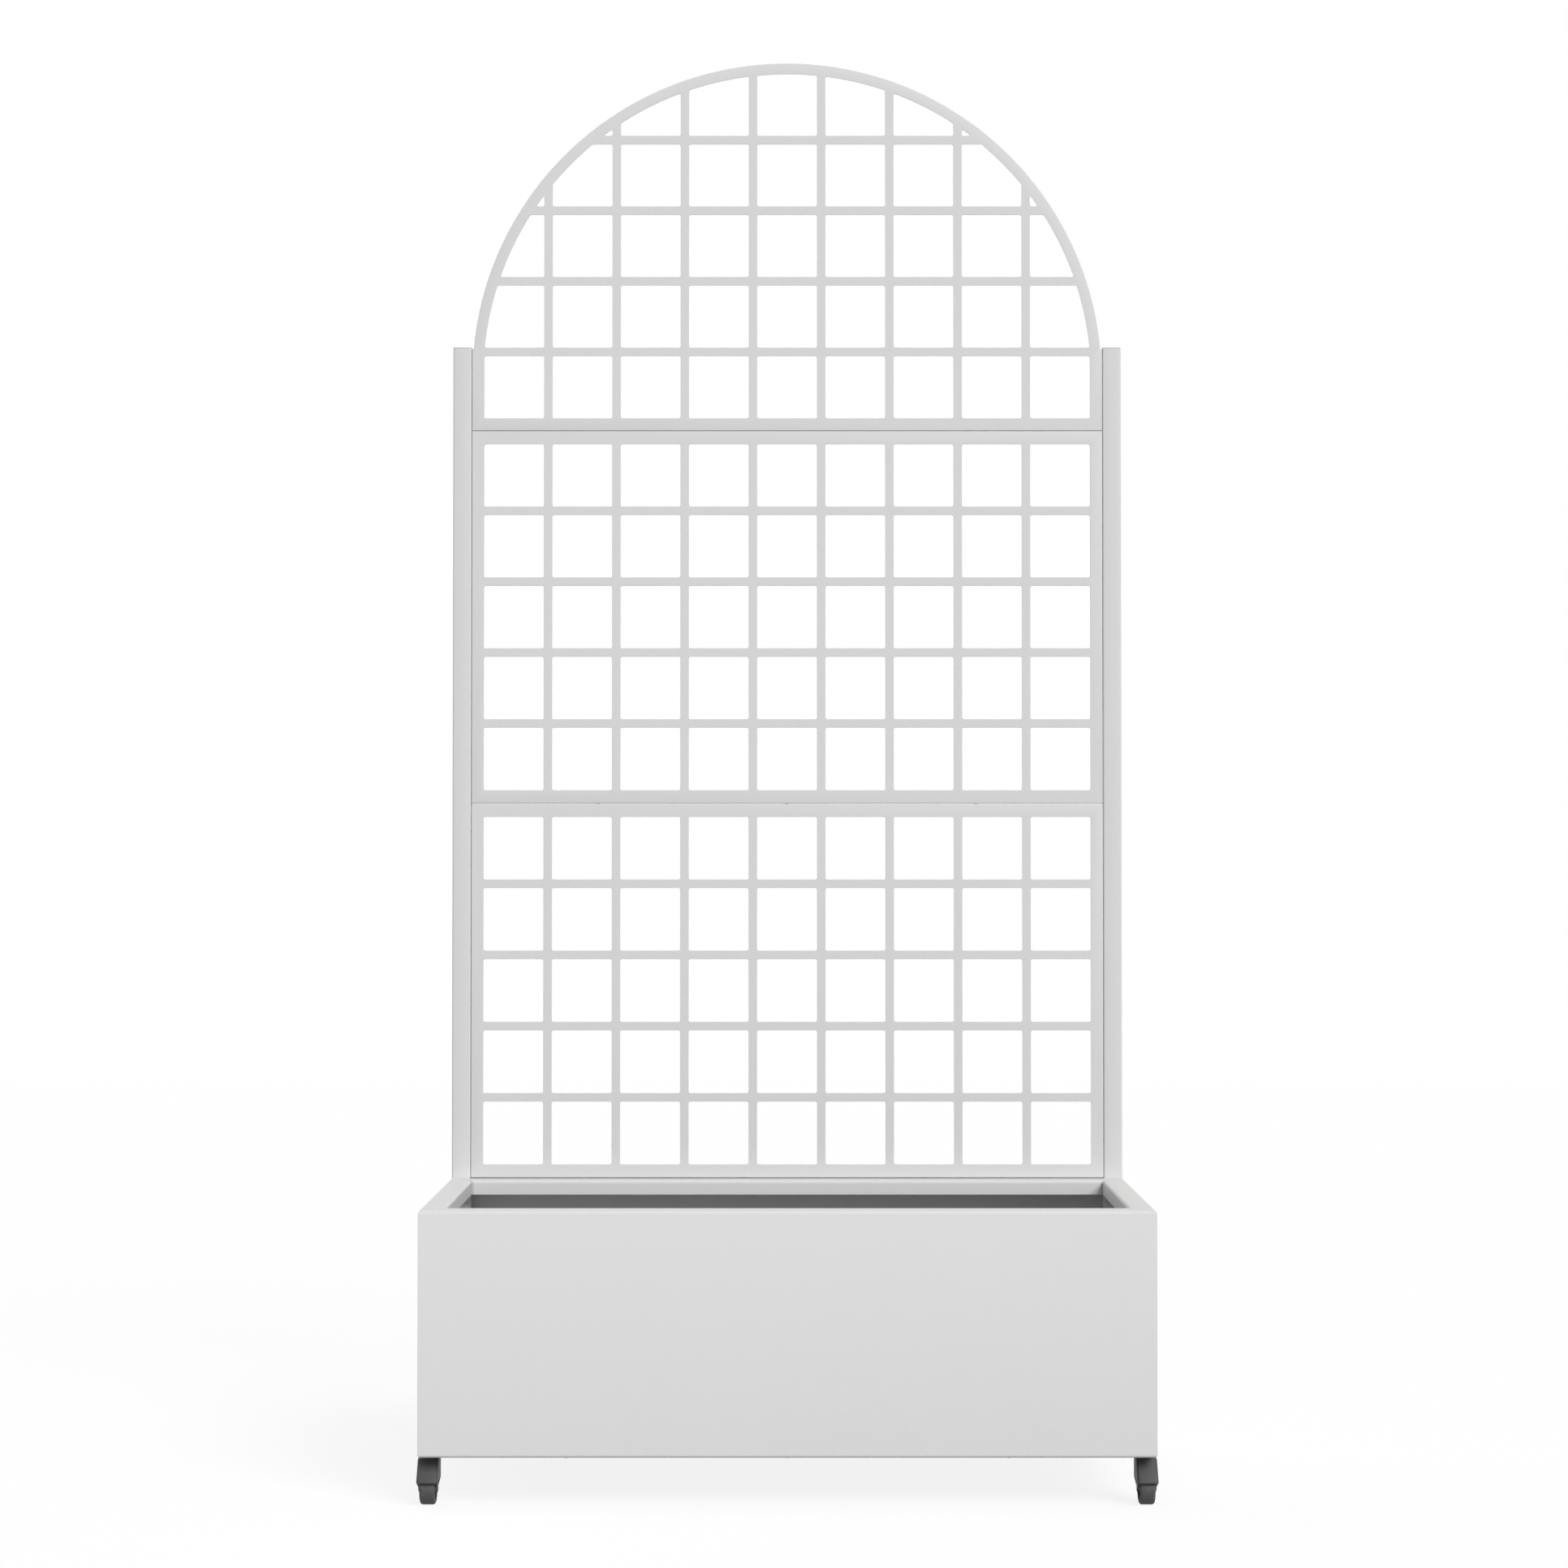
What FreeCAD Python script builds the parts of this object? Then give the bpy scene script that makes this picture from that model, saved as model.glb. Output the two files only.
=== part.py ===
import FreeCAD, Part
import os

import Sketcher
from FreeCAD import Placement, Rotation, Vector

# A sheet-steel planter box on four swivel casters, with an arched trellis of three panels at its back.
# Frame: +X right, +Y back, +Z up, origin on the floor under the middle of the object.

# Driving dimensions in millimetres, and counts and shares where their names say so
SIZES = {
    # Folded walls of the box
    "box_width": 870.0,
    "box_depth": 412.0,
    "box_height": 290.5,
    "box_sheet": 1.2,
    "bend_radius": 4.0,
    "rim_width": 30.0,
    "back_rim_width": 55.0,
    "lip_height": 18.0,
    "return_width": 25.0,
    "tab_width": 20.0,
    # Clearances and the overrun of every cut
    "mitre_gap": 0.2,
    "seat_gap": 0.5,
    "fit_gap": 0.05,
    "hole_gap": 0.3,
    "overrun": 5.0,
    # Floor sheet of the box
    "base_sheet": 1.5,
    "drain_radius": 5.0,
    "drain_columns": 5,
    "drain_rows": 2,
    "drain_pitch_across": 140.0,
    "drain_pitch_deep": 150.0,
    # Square posts and their caps
    "post_size": 24.0,
    "post_wall": 1.2,
    "post_corner": 2.0,
    "cap_plate": 2.0,
    "cap_plug": 14.0,
    # Trellis panels
    "panel_sheet": 1.5,
    "panel_fold": 18.0,
    "fold_radius": 1.4,
    "panel_lift": 1.0,
    "panel_seam": 0.6,
    "panel_gap": 0.5,
    "grid_columns": 9,
    "grid_rows": 5,
    "bar_width": 11.0,
    "opening_height": 81.0,
    "opening_corner": 2.5,
    "rail_width": 17.0,
    "stile_width": 15.9,
    "arch_band": 14.0,
    "arch_rail": 16.0,
    "arch_dip": 0.3,
    "arch_inset": 0.5,
    "shoulder_height": 106.5,
    # Screws, studs, bolts and nuts
    "screw_radius": 2.0,
    "screw_length": 10.0,
    "screw_head": 2.2,
    "screw_head_radius": 4.0,
    "head_top_share": 0.7,
    "stud_radius": 2.5,
    "stud_length": 10.0,
    "nut_across": 8.0,
    "nut_height": 4.0,
    # Caster stems, plates and nuts
    "caster_height": 59.5,
    "caster_inset": 10.0,
    "plate_width": 22.0,
    "plate_length": 24.0,
    "plate_thick": 3.0,
    "plate_gap": 5.6,
    "stem_radius": 3.0,
    "stem_reach": 2.0,
    "stem_nut_across": 10.0,
    "stem_nut_height": 5.0,
    "collar_radius": 8.0,
    "collar_height": 2.0,
    "neck_radius": 4.0,
    "pivot_head_radius": 6.5,
    "pivot_head": 2.2,
    "swivel_gap": 0.3,
    "washer_thick": 1.2,
    # Caster forks and axles
    "fork_width": 25.0,
    "fork_foot_width": 22.6,
    "fork_crown": 3.0,
    "fork_reach": 11.0,
    "brow_reach": 3.0,
    "hood_gap": 2.0,
    "hood_thick": 3.0,
    "hood_bottom": 28.5,
    "boss_radius": 5.5,
    "trail": 14.0,
    "axle_radius": 2.5,
    "axle_head_radius": 4.0,
    "axle_head": 0.8,
    # Wheels
    "wheel_radius": 20.0,
    "wheel_width": 18.4,
    "wheel_gap": 0.5,
    "tyre_thick": 3.6,
    "tyre_shoulder": 3.4,
    "hub_inset": 1.0,
    "hub_boss_radius": 5.5,
    "hub_rim": 2.5,
    "hub_recess": 3.5,
}

# Heights of the corner fasteners and panel screws, and places across the width, as shares
CORNER_HEIGHT_SHARES = (0.2, 0.5, 0.8)
PANEL_HEIGHT_SHARES = (0.25, 0.75)
ACROSS_SHARES = (-0.3, 0.0, 0.3)

# Places worked out from the driving dimensions
SIDE = "(Size.box_width / 2)"
FRONT = "(-(Size.box_depth + Size.screw_head) / 2)"
BACK = f"({FRONT} + Size.box_depth)"
UNDER = "Size.caster_height"
RIM = f"({UNDER} + Size.box_height)"
RETURN_TOP = f"({UNDER} + Size.box_sheet)"
BASE_TOP = f"({RETURN_TOP} + Size.base_sheet)"
BASE_EDGE = "(Size.bend_radius + Size.seat_gap)"
TAB_MID = f"({SIDE} - (Size.tab_width + Size.box_sheet) / 2)"
RETURN_MID = "((Size.bend_radius + Size.return_width) / 2)"
POST_OUT = f"({SIDE} - Size.box_sheet - Size.seat_gap)"
POST_IN = f"({POST_OUT} - Size.post_size)"
POST_MID = f"({POST_OUT} - Size.post_size / 2)"
POST_BACK = f"({BACK} - 2 * Size.box_sheet)"
POST_FRONT = f"({POST_BACK} - Size.post_size)"
FIELD_HEIGHT = "(Size.grid_rows * Size.opening_height + (Size.grid_rows - 1) * Size.bar_width)"
PANEL_HEIGHT = f"({FIELD_HEIGHT} + 2 * Size.rail_width)"
PANEL_WIDTH = f"(2 * {POST_IN} - 2 * Size.panel_gap)"
COLUMN_BARS = "((Size.grid_columns - 1) * Size.bar_width)"
OPENING_WIDTH = f"(({PANEL_WIDTH} - 2 * Size.stile_width - {COLUMN_BARS}) / Size.grid_columns)"
PANEL_STEP = f"({PANEL_HEIGHT} + Size.panel_seam)"
TRELLIS_FOOT = f"({RIM} + Size.panel_lift)"
MIDDLE_FOOT = f"({TRELLIS_FOOT} + {PANEL_STEP})"
TOP_FOOT = f"({MIDDLE_FOOT} + {PANEL_STEP})"
POST_TOP = f"({TOP_FOOT} + Size.shoulder_height)"
FOLD_MID = f"({POST_FRONT} + Size.panel_fold / 2)"
ARCH_RADIUS = f"({PANEL_WIDTH} / 2 - Size.arch_inset)"
ARCH_RISE = f"(Size.arch_rail + {FIELD_HEIGHT} + Size.arch_band - Size.arch_dip)"
ARCH_CENTRE = f"({TOP_FOOT} + {ARCH_RISE} - {ARCH_RADIUS})"
CASTER_SIDE = f"({SIDE} - Size.caster_inset)"
CASTER_DEEP = "(Size.post_size + 2 * Size.box_sheet + Size.plate_length / 2 + Size.plate_gap)"
FORK_TOP = f"({UNDER} - Size.collar_height - Size.swivel_gap - Size.washer_thick)"
FORK_LOW = f"({FORK_TOP} - Size.fork_crown)"
PIVOT_TOP = f"({FORK_LOW} - Size.swivel_gap)"
CAVITY_RADIUS = "(Size.wheel_radius + Size.hood_gap)"
AXLE_SEAT = "(Size.fork_foot_width / 2)"
HUB_RADIUS = "(Size.wheel_radius - Size.tyre_thick - Size.fit_gap)"
HUB_HALF = "(Size.wheel_width / 2 - Size.hub_inset)"

# Ways that round pieces point
UP = Rotation()
DOWN = Rotation(Vector(1, 0, 0), 180)
RIGHT = Rotation(Vector(0, 1, 0), 90)
LEFT = Rotation(Vector(0, 1, 0), -90)
REAR = Rotation(Vector(1, 0, 0), -90)
FRONTWARD = Rotation(Vector(1, 0, 0), 90)
SIDES = {"left": -1, "right": 1}

doc = FreeCAD.newDocument("planter_box")
sheet = doc.addObject("Spreadsheet::Sheet", "Size")
for row, (alias, number) in enumerate(SIZES.items(), start=1):
    sheet.set(f"A{row}", alias)
    sheet.set(f"B{row}", str(number))
    sheet.setAlias(f"B{row}", alias)
doc.recompute()
parts = []


def value(formula):
    """Number that a formula on the sheet gives now."""
    found = sheet.evalExpression(formula)
    return float(getattr(found, "Value", found))


def bind(item, **formulas):
    """Tie an item's sizes to formulas on the sheet."""
    for key, formula in formulas.items():
        item.setExpression(key, formula)
    return item


def place(item, x, y, z, turn=UP):
    """Tie an item's place to formulas on the sheet, with a fixed turn."""
    item.Placement = Placement(Vector(), turn)
    item.setExpression("Placement.Base.x", x)
    item.setExpression("Placement.Base.y", y)
    item.setExpression("Placement.Base.z", z)
    return item


def block(x, y, z):
    """Box between a low and a high formula on each axis."""
    item = doc.addObject("Part::Box", "block")
    bind(item, Length=f"{x[1]} - ({x[0]})", Width=f"{y[1]} - ({y[0]})", Height=f"{z[1]} - ({z[0]})")
    return place(item, x[0], y[0], z[0])


def rod(radius, length, x, y, z, turn=UP):
    """Round bar that starts at a point."""
    item = doc.addObject("Part::Cylinder", "rod")
    bind(item, Radius=radius, Height=length)
    return place(item, x, y, z, turn)


def pan_head(x, y, z, turn):
    """Screw head with a sloping edge that starts at a point."""
    item = doc.addObject("Part::Cone", "pan_head")
    top = "Size.screw_head_radius * Size.head_top_share"
    bind(item, Radius1="Size.screw_head_radius", Radius2=top, Height="Size.screw_head")
    return place(item, x, y, z, turn)


def join(*items):
    """One solid out of items that overlap."""
    item = doc.addObject("Part::MultiFuse", "join")
    item.Shapes = list(items)
    item.Refine = True
    return item


def cut(base, *tools):
    """Base with the tools taken away."""
    item = doc.addObject("Part::Cut", "cut")
    item.Base = base
    item.Tool = tools[0] if len(tools) == 1 else join(*tools)
    item.Refine = True
    return item


def overlap(first, second):
    """What two items share."""
    item = doc.addObject("Part::Common", "overlap")
    item.Base = first
    item.Tool = second
    item.Refine = True
    return item


def group(*items):
    """Separate solids in one node."""
    item = doc.addObject("Part::Compound", "group")
    item.Links = list(items)
    return item


def finish(item, name):
    """Name a finished piece and keep it for the hand-in."""
    item.Label = name
    parts.append(item)
    return item


def mirrored(sign, low, high):
    """Low and high formulas of a stretch on the right, or of its mirror image on the left."""
    return (low, high) if sign > 0 else (f"-({high})", f"-({low})")


def flipped(sign, formula):
    """A place on the right, or its mirror image on the left."""
    return formula if sign > 0 else f"-({formula})"


def nut(across, height, hole, x, y, z, turn=UP):
    """Hexagon nut on a round bar of the given radius."""
    item = doc.addObject("Part::Prism", "hexagon")
    item.Polygon = 6
    bind(item, Circumradius=f"{across} / sqrt(3)", Height=height)
    place(item, x, y, z, turn)
    return cut(item, rod(f"{hole} + Size.fit_gap", height, x, y, z, turn))


def screw(length, x, y, z, turn, back_turn):
    """Screw whose head bears at a point; the shank runs along turn and the head along back_turn."""
    return join(rod("Size.screw_radius", length, x, y, z, turn), pan_head(x, y, z, back_turn))


def new_sketch(body, role):
    """Sketch on one of a body's own origin planes."""
    drawing = body.newObject("Sketcher::SketchObject", "sketch")
    plane = next(item for item in body.Origin.OriginFeatures if item.Role == role)
    drawing.AttachmentSupport = [(plane, "")]
    drawing.MapMode = "FlatFace"
    return drawing


def limit(drawing, name, formula, *terms):
    """Dimension of a sketch, tied to a formula."""
    index = drawing.addConstraint(Sketcher.Constraint(*terms, value(formula)))
    drawing.renameConstraint(index, name)
    drawing.setExpression(f"Constraints.{name}", formula)


def rounded_rectangle(drawing, tag, x, y, width, height, radius):
    """Rectangle with round corners whose low corner is at x, y."""
    left, low, r = value(x), value(y), value(radius)
    right = left + value(width)
    top = low + value(height)
    corners = ((left + r, low + r, 2), (right - r, low + r, 3), (right - r, top - r, 0), (left + r, top - r, 1))
    quarter = FreeCAD.Units.parseQuantity("90 deg").getValueAs("rad").Value
    arcs = []
    for centre_x, centre_y, turn in corners:
        circle = Part.Circle(Vector(centre_x, centre_y, 0), Vector(0, 0, 1), r)
        arcs.append(drawing.addGeometry(Part.ArcOfCircle(circle, turn * quarter, (turn + 1) * quarter)))
    edges = (
        (Vector(left + r, low, 0), Vector(right - r, low, 0), "Horizontal"),
        (Vector(right, low + r, 0), Vector(right, top - r, 0), "Vertical"),
        (Vector(right - r, top, 0), Vector(left + r, top, 0), "Horizontal"),
        (Vector(left, top - r, 0), Vector(left, low + r, 0), "Vertical"),
    )
    lines = []
    for start, end, way in edges:
        line = drawing.addGeometry(Part.LineSegment(start, end))
        drawing.addConstraint(Sketcher.Constraint(way, line))
        lines.append(line)
    for index, line in enumerate(lines):
        following = arcs[(index + 1) % len(arcs)]
        drawing.addConstraint(Sketcher.Constraint("Tangent", arcs[index], 2, line, 1))
        drawing.addConstraint(Sketcher.Constraint("Tangent", line, 2, following, 1))
    for arc in arcs[1:]:
        drawing.addConstraint(Sketcher.Constraint("Equal", arcs[0], arc))
    limit(drawing, f"{tag}_radius", radius, "Radius", arcs[0])
    limit(drawing, f"{tag}_x", f"{x} + {radius}", "DistanceX", -1, 1, arcs[0], 3)
    limit(drawing, f"{tag}_y", f"{y} + {radius}", "DistanceY", -1, 1, arcs[0], 3)
    limit(drawing, f"{tag}_width", f"{width} - 2 * {radius}", "DistanceX", arcs[0], 3, arcs[2], 3)
    limit(drawing, f"{tag}_height", f"{height} - 2 * {radius}", "DistanceY", arcs[0], 3, arcs[2], 3)


def rectangle(drawing, tag, x, y, width, height):
    """Rectangle with sharp corners whose low corner is at x, y."""
    left, low = value(x), value(y)
    right = left + value(width)
    top = low + value(height)
    points = [Vector(left, low, 0), Vector(right, low, 0), Vector(right, top, 0), Vector(left, top, 0)]
    lines = []
    for index, start in enumerate(points):
        lines.append(drawing.addGeometry(Part.LineSegment(start, points[(index + 1) % len(points)])))
    for index, line in enumerate(lines):
        following = lines[(index + 1) % len(lines)]
        drawing.addConstraint(Sketcher.Constraint("Coincident", line, 2, following, 1))
        drawing.addConstraint(Sketcher.Constraint("Vertical" if index % 2 else "Horizontal", line))
    limit(drawing, f"{tag}_x", x, "DistanceX", -1, 1, lines[0], 1)
    limit(drawing, f"{tag}_y", y, "DistanceY", -1, 1, lines[0], 1)
    limit(drawing, f"{tag}_width", width, "DistanceX", lines[0], 1, lines[0], 2)
    limit(drawing, f"{tag}_height", height, "DistanceY", lines[1], 1, lines[1], 2)


def pad(body, drawing, length, backwards=False):
    """Solid that a sketch is drawn out to."""
    feature = body.newObject("PartDesign::Pad", "pad")
    feature.Profile = drawing
    feature.Reversed = backwards
    bind(feature, Length=length)
    return feature


def soften(body, base, radius, chosen):
    """Round the edges of a feature that a test picks."""
    doc.recompute()
    names = [f"Edge{index}" for index, edge in enumerate(base.Shape.Edges, start=1) if chosen(edge)]
    feature = body.newObject("PartDesign::Fillet", "soften")
    feature.Base = (base, names)
    bind(feature, Radius=radius)
    return feature


def folded_profile(body, rim):
    """Cross-section of a wall sheet: return, wall, rim and lip, with a round bend between each two."""
    drawing = new_sketch(body, "YZ_Plane")
    thick, bend = value("Size.box_sheet"), value("Size.bend_radius")
    lengths = ("Size.return_width", "Size.box_height", rim, "Size.lip_height")
    ways = (Vector(-1, 0, 0), Vector(0, 1, 0), Vector(1, 0, 0), Vector(0, -1, 0))
    corner = Vector(value(lengths[0]), 0, 0)
    rows = {"outer": [], "inner": []}
    for index, (length, way) in enumerate(zip(lengths, ways)):
        inwards = Vector(way.y, -way.x, 0)
        start = corner + way * (bend if index else 0)
        corner = corner + way * value(length)
        end = corner - way * (0 if index == len(ways) - 1 else bend)
        for side, shift in (("outer", Vector()), ("inner", inwards * thick)):
            line = drawing.addGeometry(Part.LineSegment(start + shift, end + shift))
            drawing.addConstraint(Sketcher.Constraint("Vertical" if index % 2 else "Horizontal", line))
            rows[side].append(line)
    for index in range(len(ways) - 1):
        line = drawing.Geometry[rows["outer"][index]]
        following = drawing.Geometry[rows["outer"][index + 1]]
        inwards = Vector(ways[index].y, -ways[index].x, 0)
        centre = line.EndPoint + inwards * bend
        arcs = []
        for side, radius in (("outer", bend), ("inner", bend - thick)):
            circle = Part.Circle(centre, Vector(0, 0, 1), radius)
            low = circle.parameter(following.StartPoint)
            high = circle.parameter(line.EndPoint)
            arc = drawing.addGeometry(Part.ArcOfCircle(circle, low, high))
            drawing.addConstraint(Sketcher.Constraint("Tangent", rows[side][index], 2, arc, 2))
            drawing.addConstraint(Sketcher.Constraint("Tangent", arc, 1, rows[side][index + 1], 1))
            arcs.append(arc)
        drawing.addConstraint(Sketcher.Constraint("Coincident", arcs[0], 3, arcs[1], 3))
        limit(drawing, f"bend_{index}", "Size.bend_radius", "Radius", arcs[0])
    for name, position, row in (("foot", 1, 0), ("hem", 2, -1)):
        outer, inner = rows["outer"][row], rows["inner"][row]
        start, end = drawing.getPoint(outer, position), drawing.getPoint(inner, position)
        edge = drawing.addGeometry(Part.LineSegment(start, end))
        drawing.addConstraint(Sketcher.Constraint("Coincident", edge, 1, outer, position))
        drawing.addConstraint(Sketcher.Constraint("Coincident", edge, 2, inner, position))
        drawing.addConstraint(Sketcher.Constraint("Vertical" if name == "foot" else "Horizontal", edge))
        if name == "foot":
            limit(drawing, "thickness", "Size.box_sheet", "DistanceY", edge, 1, edge, 2)
    drawing.addConstraint(Sketcher.Constraint("PointOnObject", rows["outer"][0], 1, -1))
    drawing.addConstraint(Sketcher.Constraint("PointOnObject", rows["outer"][1], 1, -2))
    for index, (line, length) in enumerate(zip(rows["outer"], lengths)):
        bends = 2 if 0 < index < len(ways) - 1 else 1
        limit(drawing, f"leg_{index}", f"{length} - {bends} * Size.bend_radius", "Distance", line)
    return drawing


def folded_wall(length, rim, first_slope, last_slope):
    """Folded wall sheet with mitred ends: length along its own x, inwards along y, up along z."""
    body = doc.addObject("PartDesign::Body", "folded_sheet")
    pad(body, folded_profile(body, rim), length)
    mitre = doc.addObject("Part::Wedge", "mitre")
    reach = f"({rim} + Size.return_width)"
    gap = "Size.mitre_gap"
    bind(mitre, Xmin=gap, Xmax=f"{length} - {gap}", Ymin="0", Ymax=reach)
    bind(mitre, X2min=f"{gap} + {reach} * {first_slope}", X2max=f"{length} - {gap} - {reach} * {last_slope}")
    bind(mitre, Zmin="0", Z2min="0", Zmax="Size.box_height", Z2max="Size.box_height")
    return overlap(body, mitre)


def corner_heights():
    """Heights of the fasteners along each upright corner."""
    return [f"({UNDER} + Size.box_height * {share})" for share in CORNER_HEIGHT_SHARES]


def wall_holes():
    """Tools for every hole and notch in the folded walls, by the walls that they cut."""
    tools = {"front": [], "back": [], "left": [], "right": []}
    for name, sign in SIDES.items():
        high = f"{SIDE} - Size.box_sheet"
        notch_x = mirrored(sign, f"{POST_IN} - Size.seat_gap", high)
        notch_y = (f"{POST_FRONT} - Size.seat_gap", f"{POST_BACK} + Size.box_sheet / 2")
        notch_z = (f"{RIM} - Size.bend_radius", f"{RIM} + Size.overrun")
        for wall in ("back", name):
            tools[wall].append(block(notch_x, notch_y, notch_z))
        for height in corner_heights():
            tab_x = flipped(sign, TAB_MID)
            post_x = flipped(sign, POST_MID)
            tab_y = f"{FRONT} + Size.box_sheet"
            wide = "Size.stud_radius + Size.hole_gap"
            tools[name].append(rod(wide, "2 * Size.box_sheet", tab_x, tab_y, height, REAR))
            wide = "Size.screw_radius + Size.hole_gap"
            reach = "2 * Size.box_sheet + Size.overrun"
            for wall in ("back", name):
                tools[wall].append(rod(wide, reach, post_x, f"{BACK} + Size.overrun", height, FRONTWARD))
        for deep in (f"({FRONT} + {CASTER_DEEP})", f"({BACK} - {CASTER_DEEP})"):
            wide = "Size.stem_radius + Size.hole_gap"
            reach = "Size.box_sheet + 2 * Size.overrun"
            tools[name].append(rod(wide, reach, flipped(sign, CASTER_SIDE), deep, f"{UNDER} - Size.overrun"))
    for share in ACROSS_SHARES:
        for wall, deep in (("front", f"({FRONT} + {RETURN_MID})"), ("back", f"({BACK} - {RETURN_MID})")):
            wide = "Size.screw_radius + Size.fit_gap"
            reach = "Size.box_sheet + 2 * Size.overrun"
            across = f"Size.box_width * {share}"
            tools[wall].append(rod(wide, reach, across, deep, f"{UNDER} - Size.overrun"))
    return tools


def make_walls():
    """Four folded walls of the box."""
    tools = wall_holes()
    to_back = "Size.back_rim_width / Size.rim_width"
    from_back = "Size.rim_width / Size.back_rim_width"
    front = place(folded_wall("Size.box_width", "Size.rim_width", "1", "1"), f"-{SIDE}", FRONT, UNDER)
    finish(cut(front, *tools["front"]), "front_panel")
    back = folded_wall("Size.box_width", "Size.back_rim_width", from_back, from_back)
    place(back, SIDE, BACK, UNDER, Rotation(Vector(0, 0, 1), 180))
    finish(cut(back, *tools["back"]), "back_panel")
    for name, sign in SIDES.items():
        slopes = ("1", to_back) if sign > 0 else (to_back, "1")
        wall = folded_wall("Size.box_depth", "Size.rim_width", *slopes)
        start = FRONT if sign > 0 else BACK
        place(wall, flipped(sign, SIDE), start, UNDER, Rotation(Vector(0, 0, 1), sign * 90))
        tab_x = mirrored(sign, f"{SIDE} - Size.tab_width", f"{SIDE} - Size.box_sheet / 4")
        tab_z = (f"{UNDER} + Size.bend_radius", f"{RIM} - Size.bend_radius")
        front_tab = block(tab_x, (f"{FRONT} + Size.box_sheet", f"{FRONT} + 2 * Size.box_sheet"), tab_z)
        back_tab = block(tab_x, (f"{BACK} - 2 * Size.box_sheet", f"{BACK} - Size.box_sheet"), tab_z)
        finish(cut(join(wall, front_tab, back_tab), *tools[name]), f"{name}_panel")


def make_base():
    """Floor sheet with drain holes, stem holes and screw holes."""
    wide = (f"-({SIDE} - {BASE_EDGE})", f"{SIDE} - {BASE_EDGE}")
    deep = (f"{FRONT} + {BASE_EDGE}", f"{BACK} - {BASE_EDGE}")
    slab = block(wide, deep, (RETURN_TOP, BASE_TOP))
    low = f"{RETURN_TOP} - Size.overrun"
    reach = "Size.base_sheet + 2 * Size.overrun"
    tools = []
    columns, rows = int(value("Size.drain_columns")), int(value("Size.drain_rows"))
    for column in range(columns):
        for line in range(rows):
            x = f"({column} - (Size.drain_columns - 1) / 2) * Size.drain_pitch_across"
            y = f"({line} - (Size.drain_rows - 1) / 2) * Size.drain_pitch_deep"
            tools.append(rod("Size.drain_radius", reach, x, y, low))
    for sign in SIDES.values():
        for y in (f"({FRONT} + {CASTER_DEEP})", f"({BACK} - {CASTER_DEEP})"):
            tools.append(rod("Size.stem_radius + Size.hole_gap", reach, flipped(sign, CASTER_SIDE), y, low))
    screws = []
    length = "Size.base_sheet + Size.box_sheet + Size.screw_radius"
    for share in ACROSS_SHARES:
        for y in (f"({FRONT} + {RETURN_MID})", f"({BACK} - {RETURN_MID})"):
            x = f"Size.box_width * {share}"
            tools.append(rod("Size.screw_radius + Size.hole_gap", reach, x, y, low))
            screws.append(screw(length, x, y, BASE_TOP, DOWN, UP))
    finish(cut(slab, *tools), "base_panel")
    finish(group(*screws), "base_screws")


def make_corner_fasteners():
    """Studs and nuts of the front corners, screws of the back corners."""
    studs, nuts, screws = [], [], []
    for sign in SIDES.values():
        x = flipped(sign, TAB_MID)
        for z in corner_heights():
            studs.append(rod("Size.stud_radius", "Size.stud_length", x, f"{FRONT} + Size.box_sheet", z, REAR))
            seat = f"{FRONT} + 2 * Size.box_sheet"
            nuts.append(nut("Size.nut_across", "Size.nut_height", "Size.stud_radius", x, seat, z, REAR))
            screws.append(screw("Size.screw_length", flipped(sign, POST_MID), BACK, z, FRONTWARD, REAR))
    finish(group(*studs), "front_corner_studs")
    finish(group(*nuts), "front_corner_nuts")
    finish(group(*screws), "back_corner_screws")


def panel_screw_heights():
    """Heights of the screws that hold the trellis panels to the posts."""
    found = []
    rises = ((TRELLIS_FOOT, PANEL_HEIGHT), (MIDDLE_FOOT, PANEL_HEIGHT), (TOP_FOOT, "Size.shoulder_height"))
    for foot, rise in rises:
        found.extend(f"({foot} + {rise} * {share})" for share in PANEL_HEIGHT_SHARES)
    return found


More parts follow.
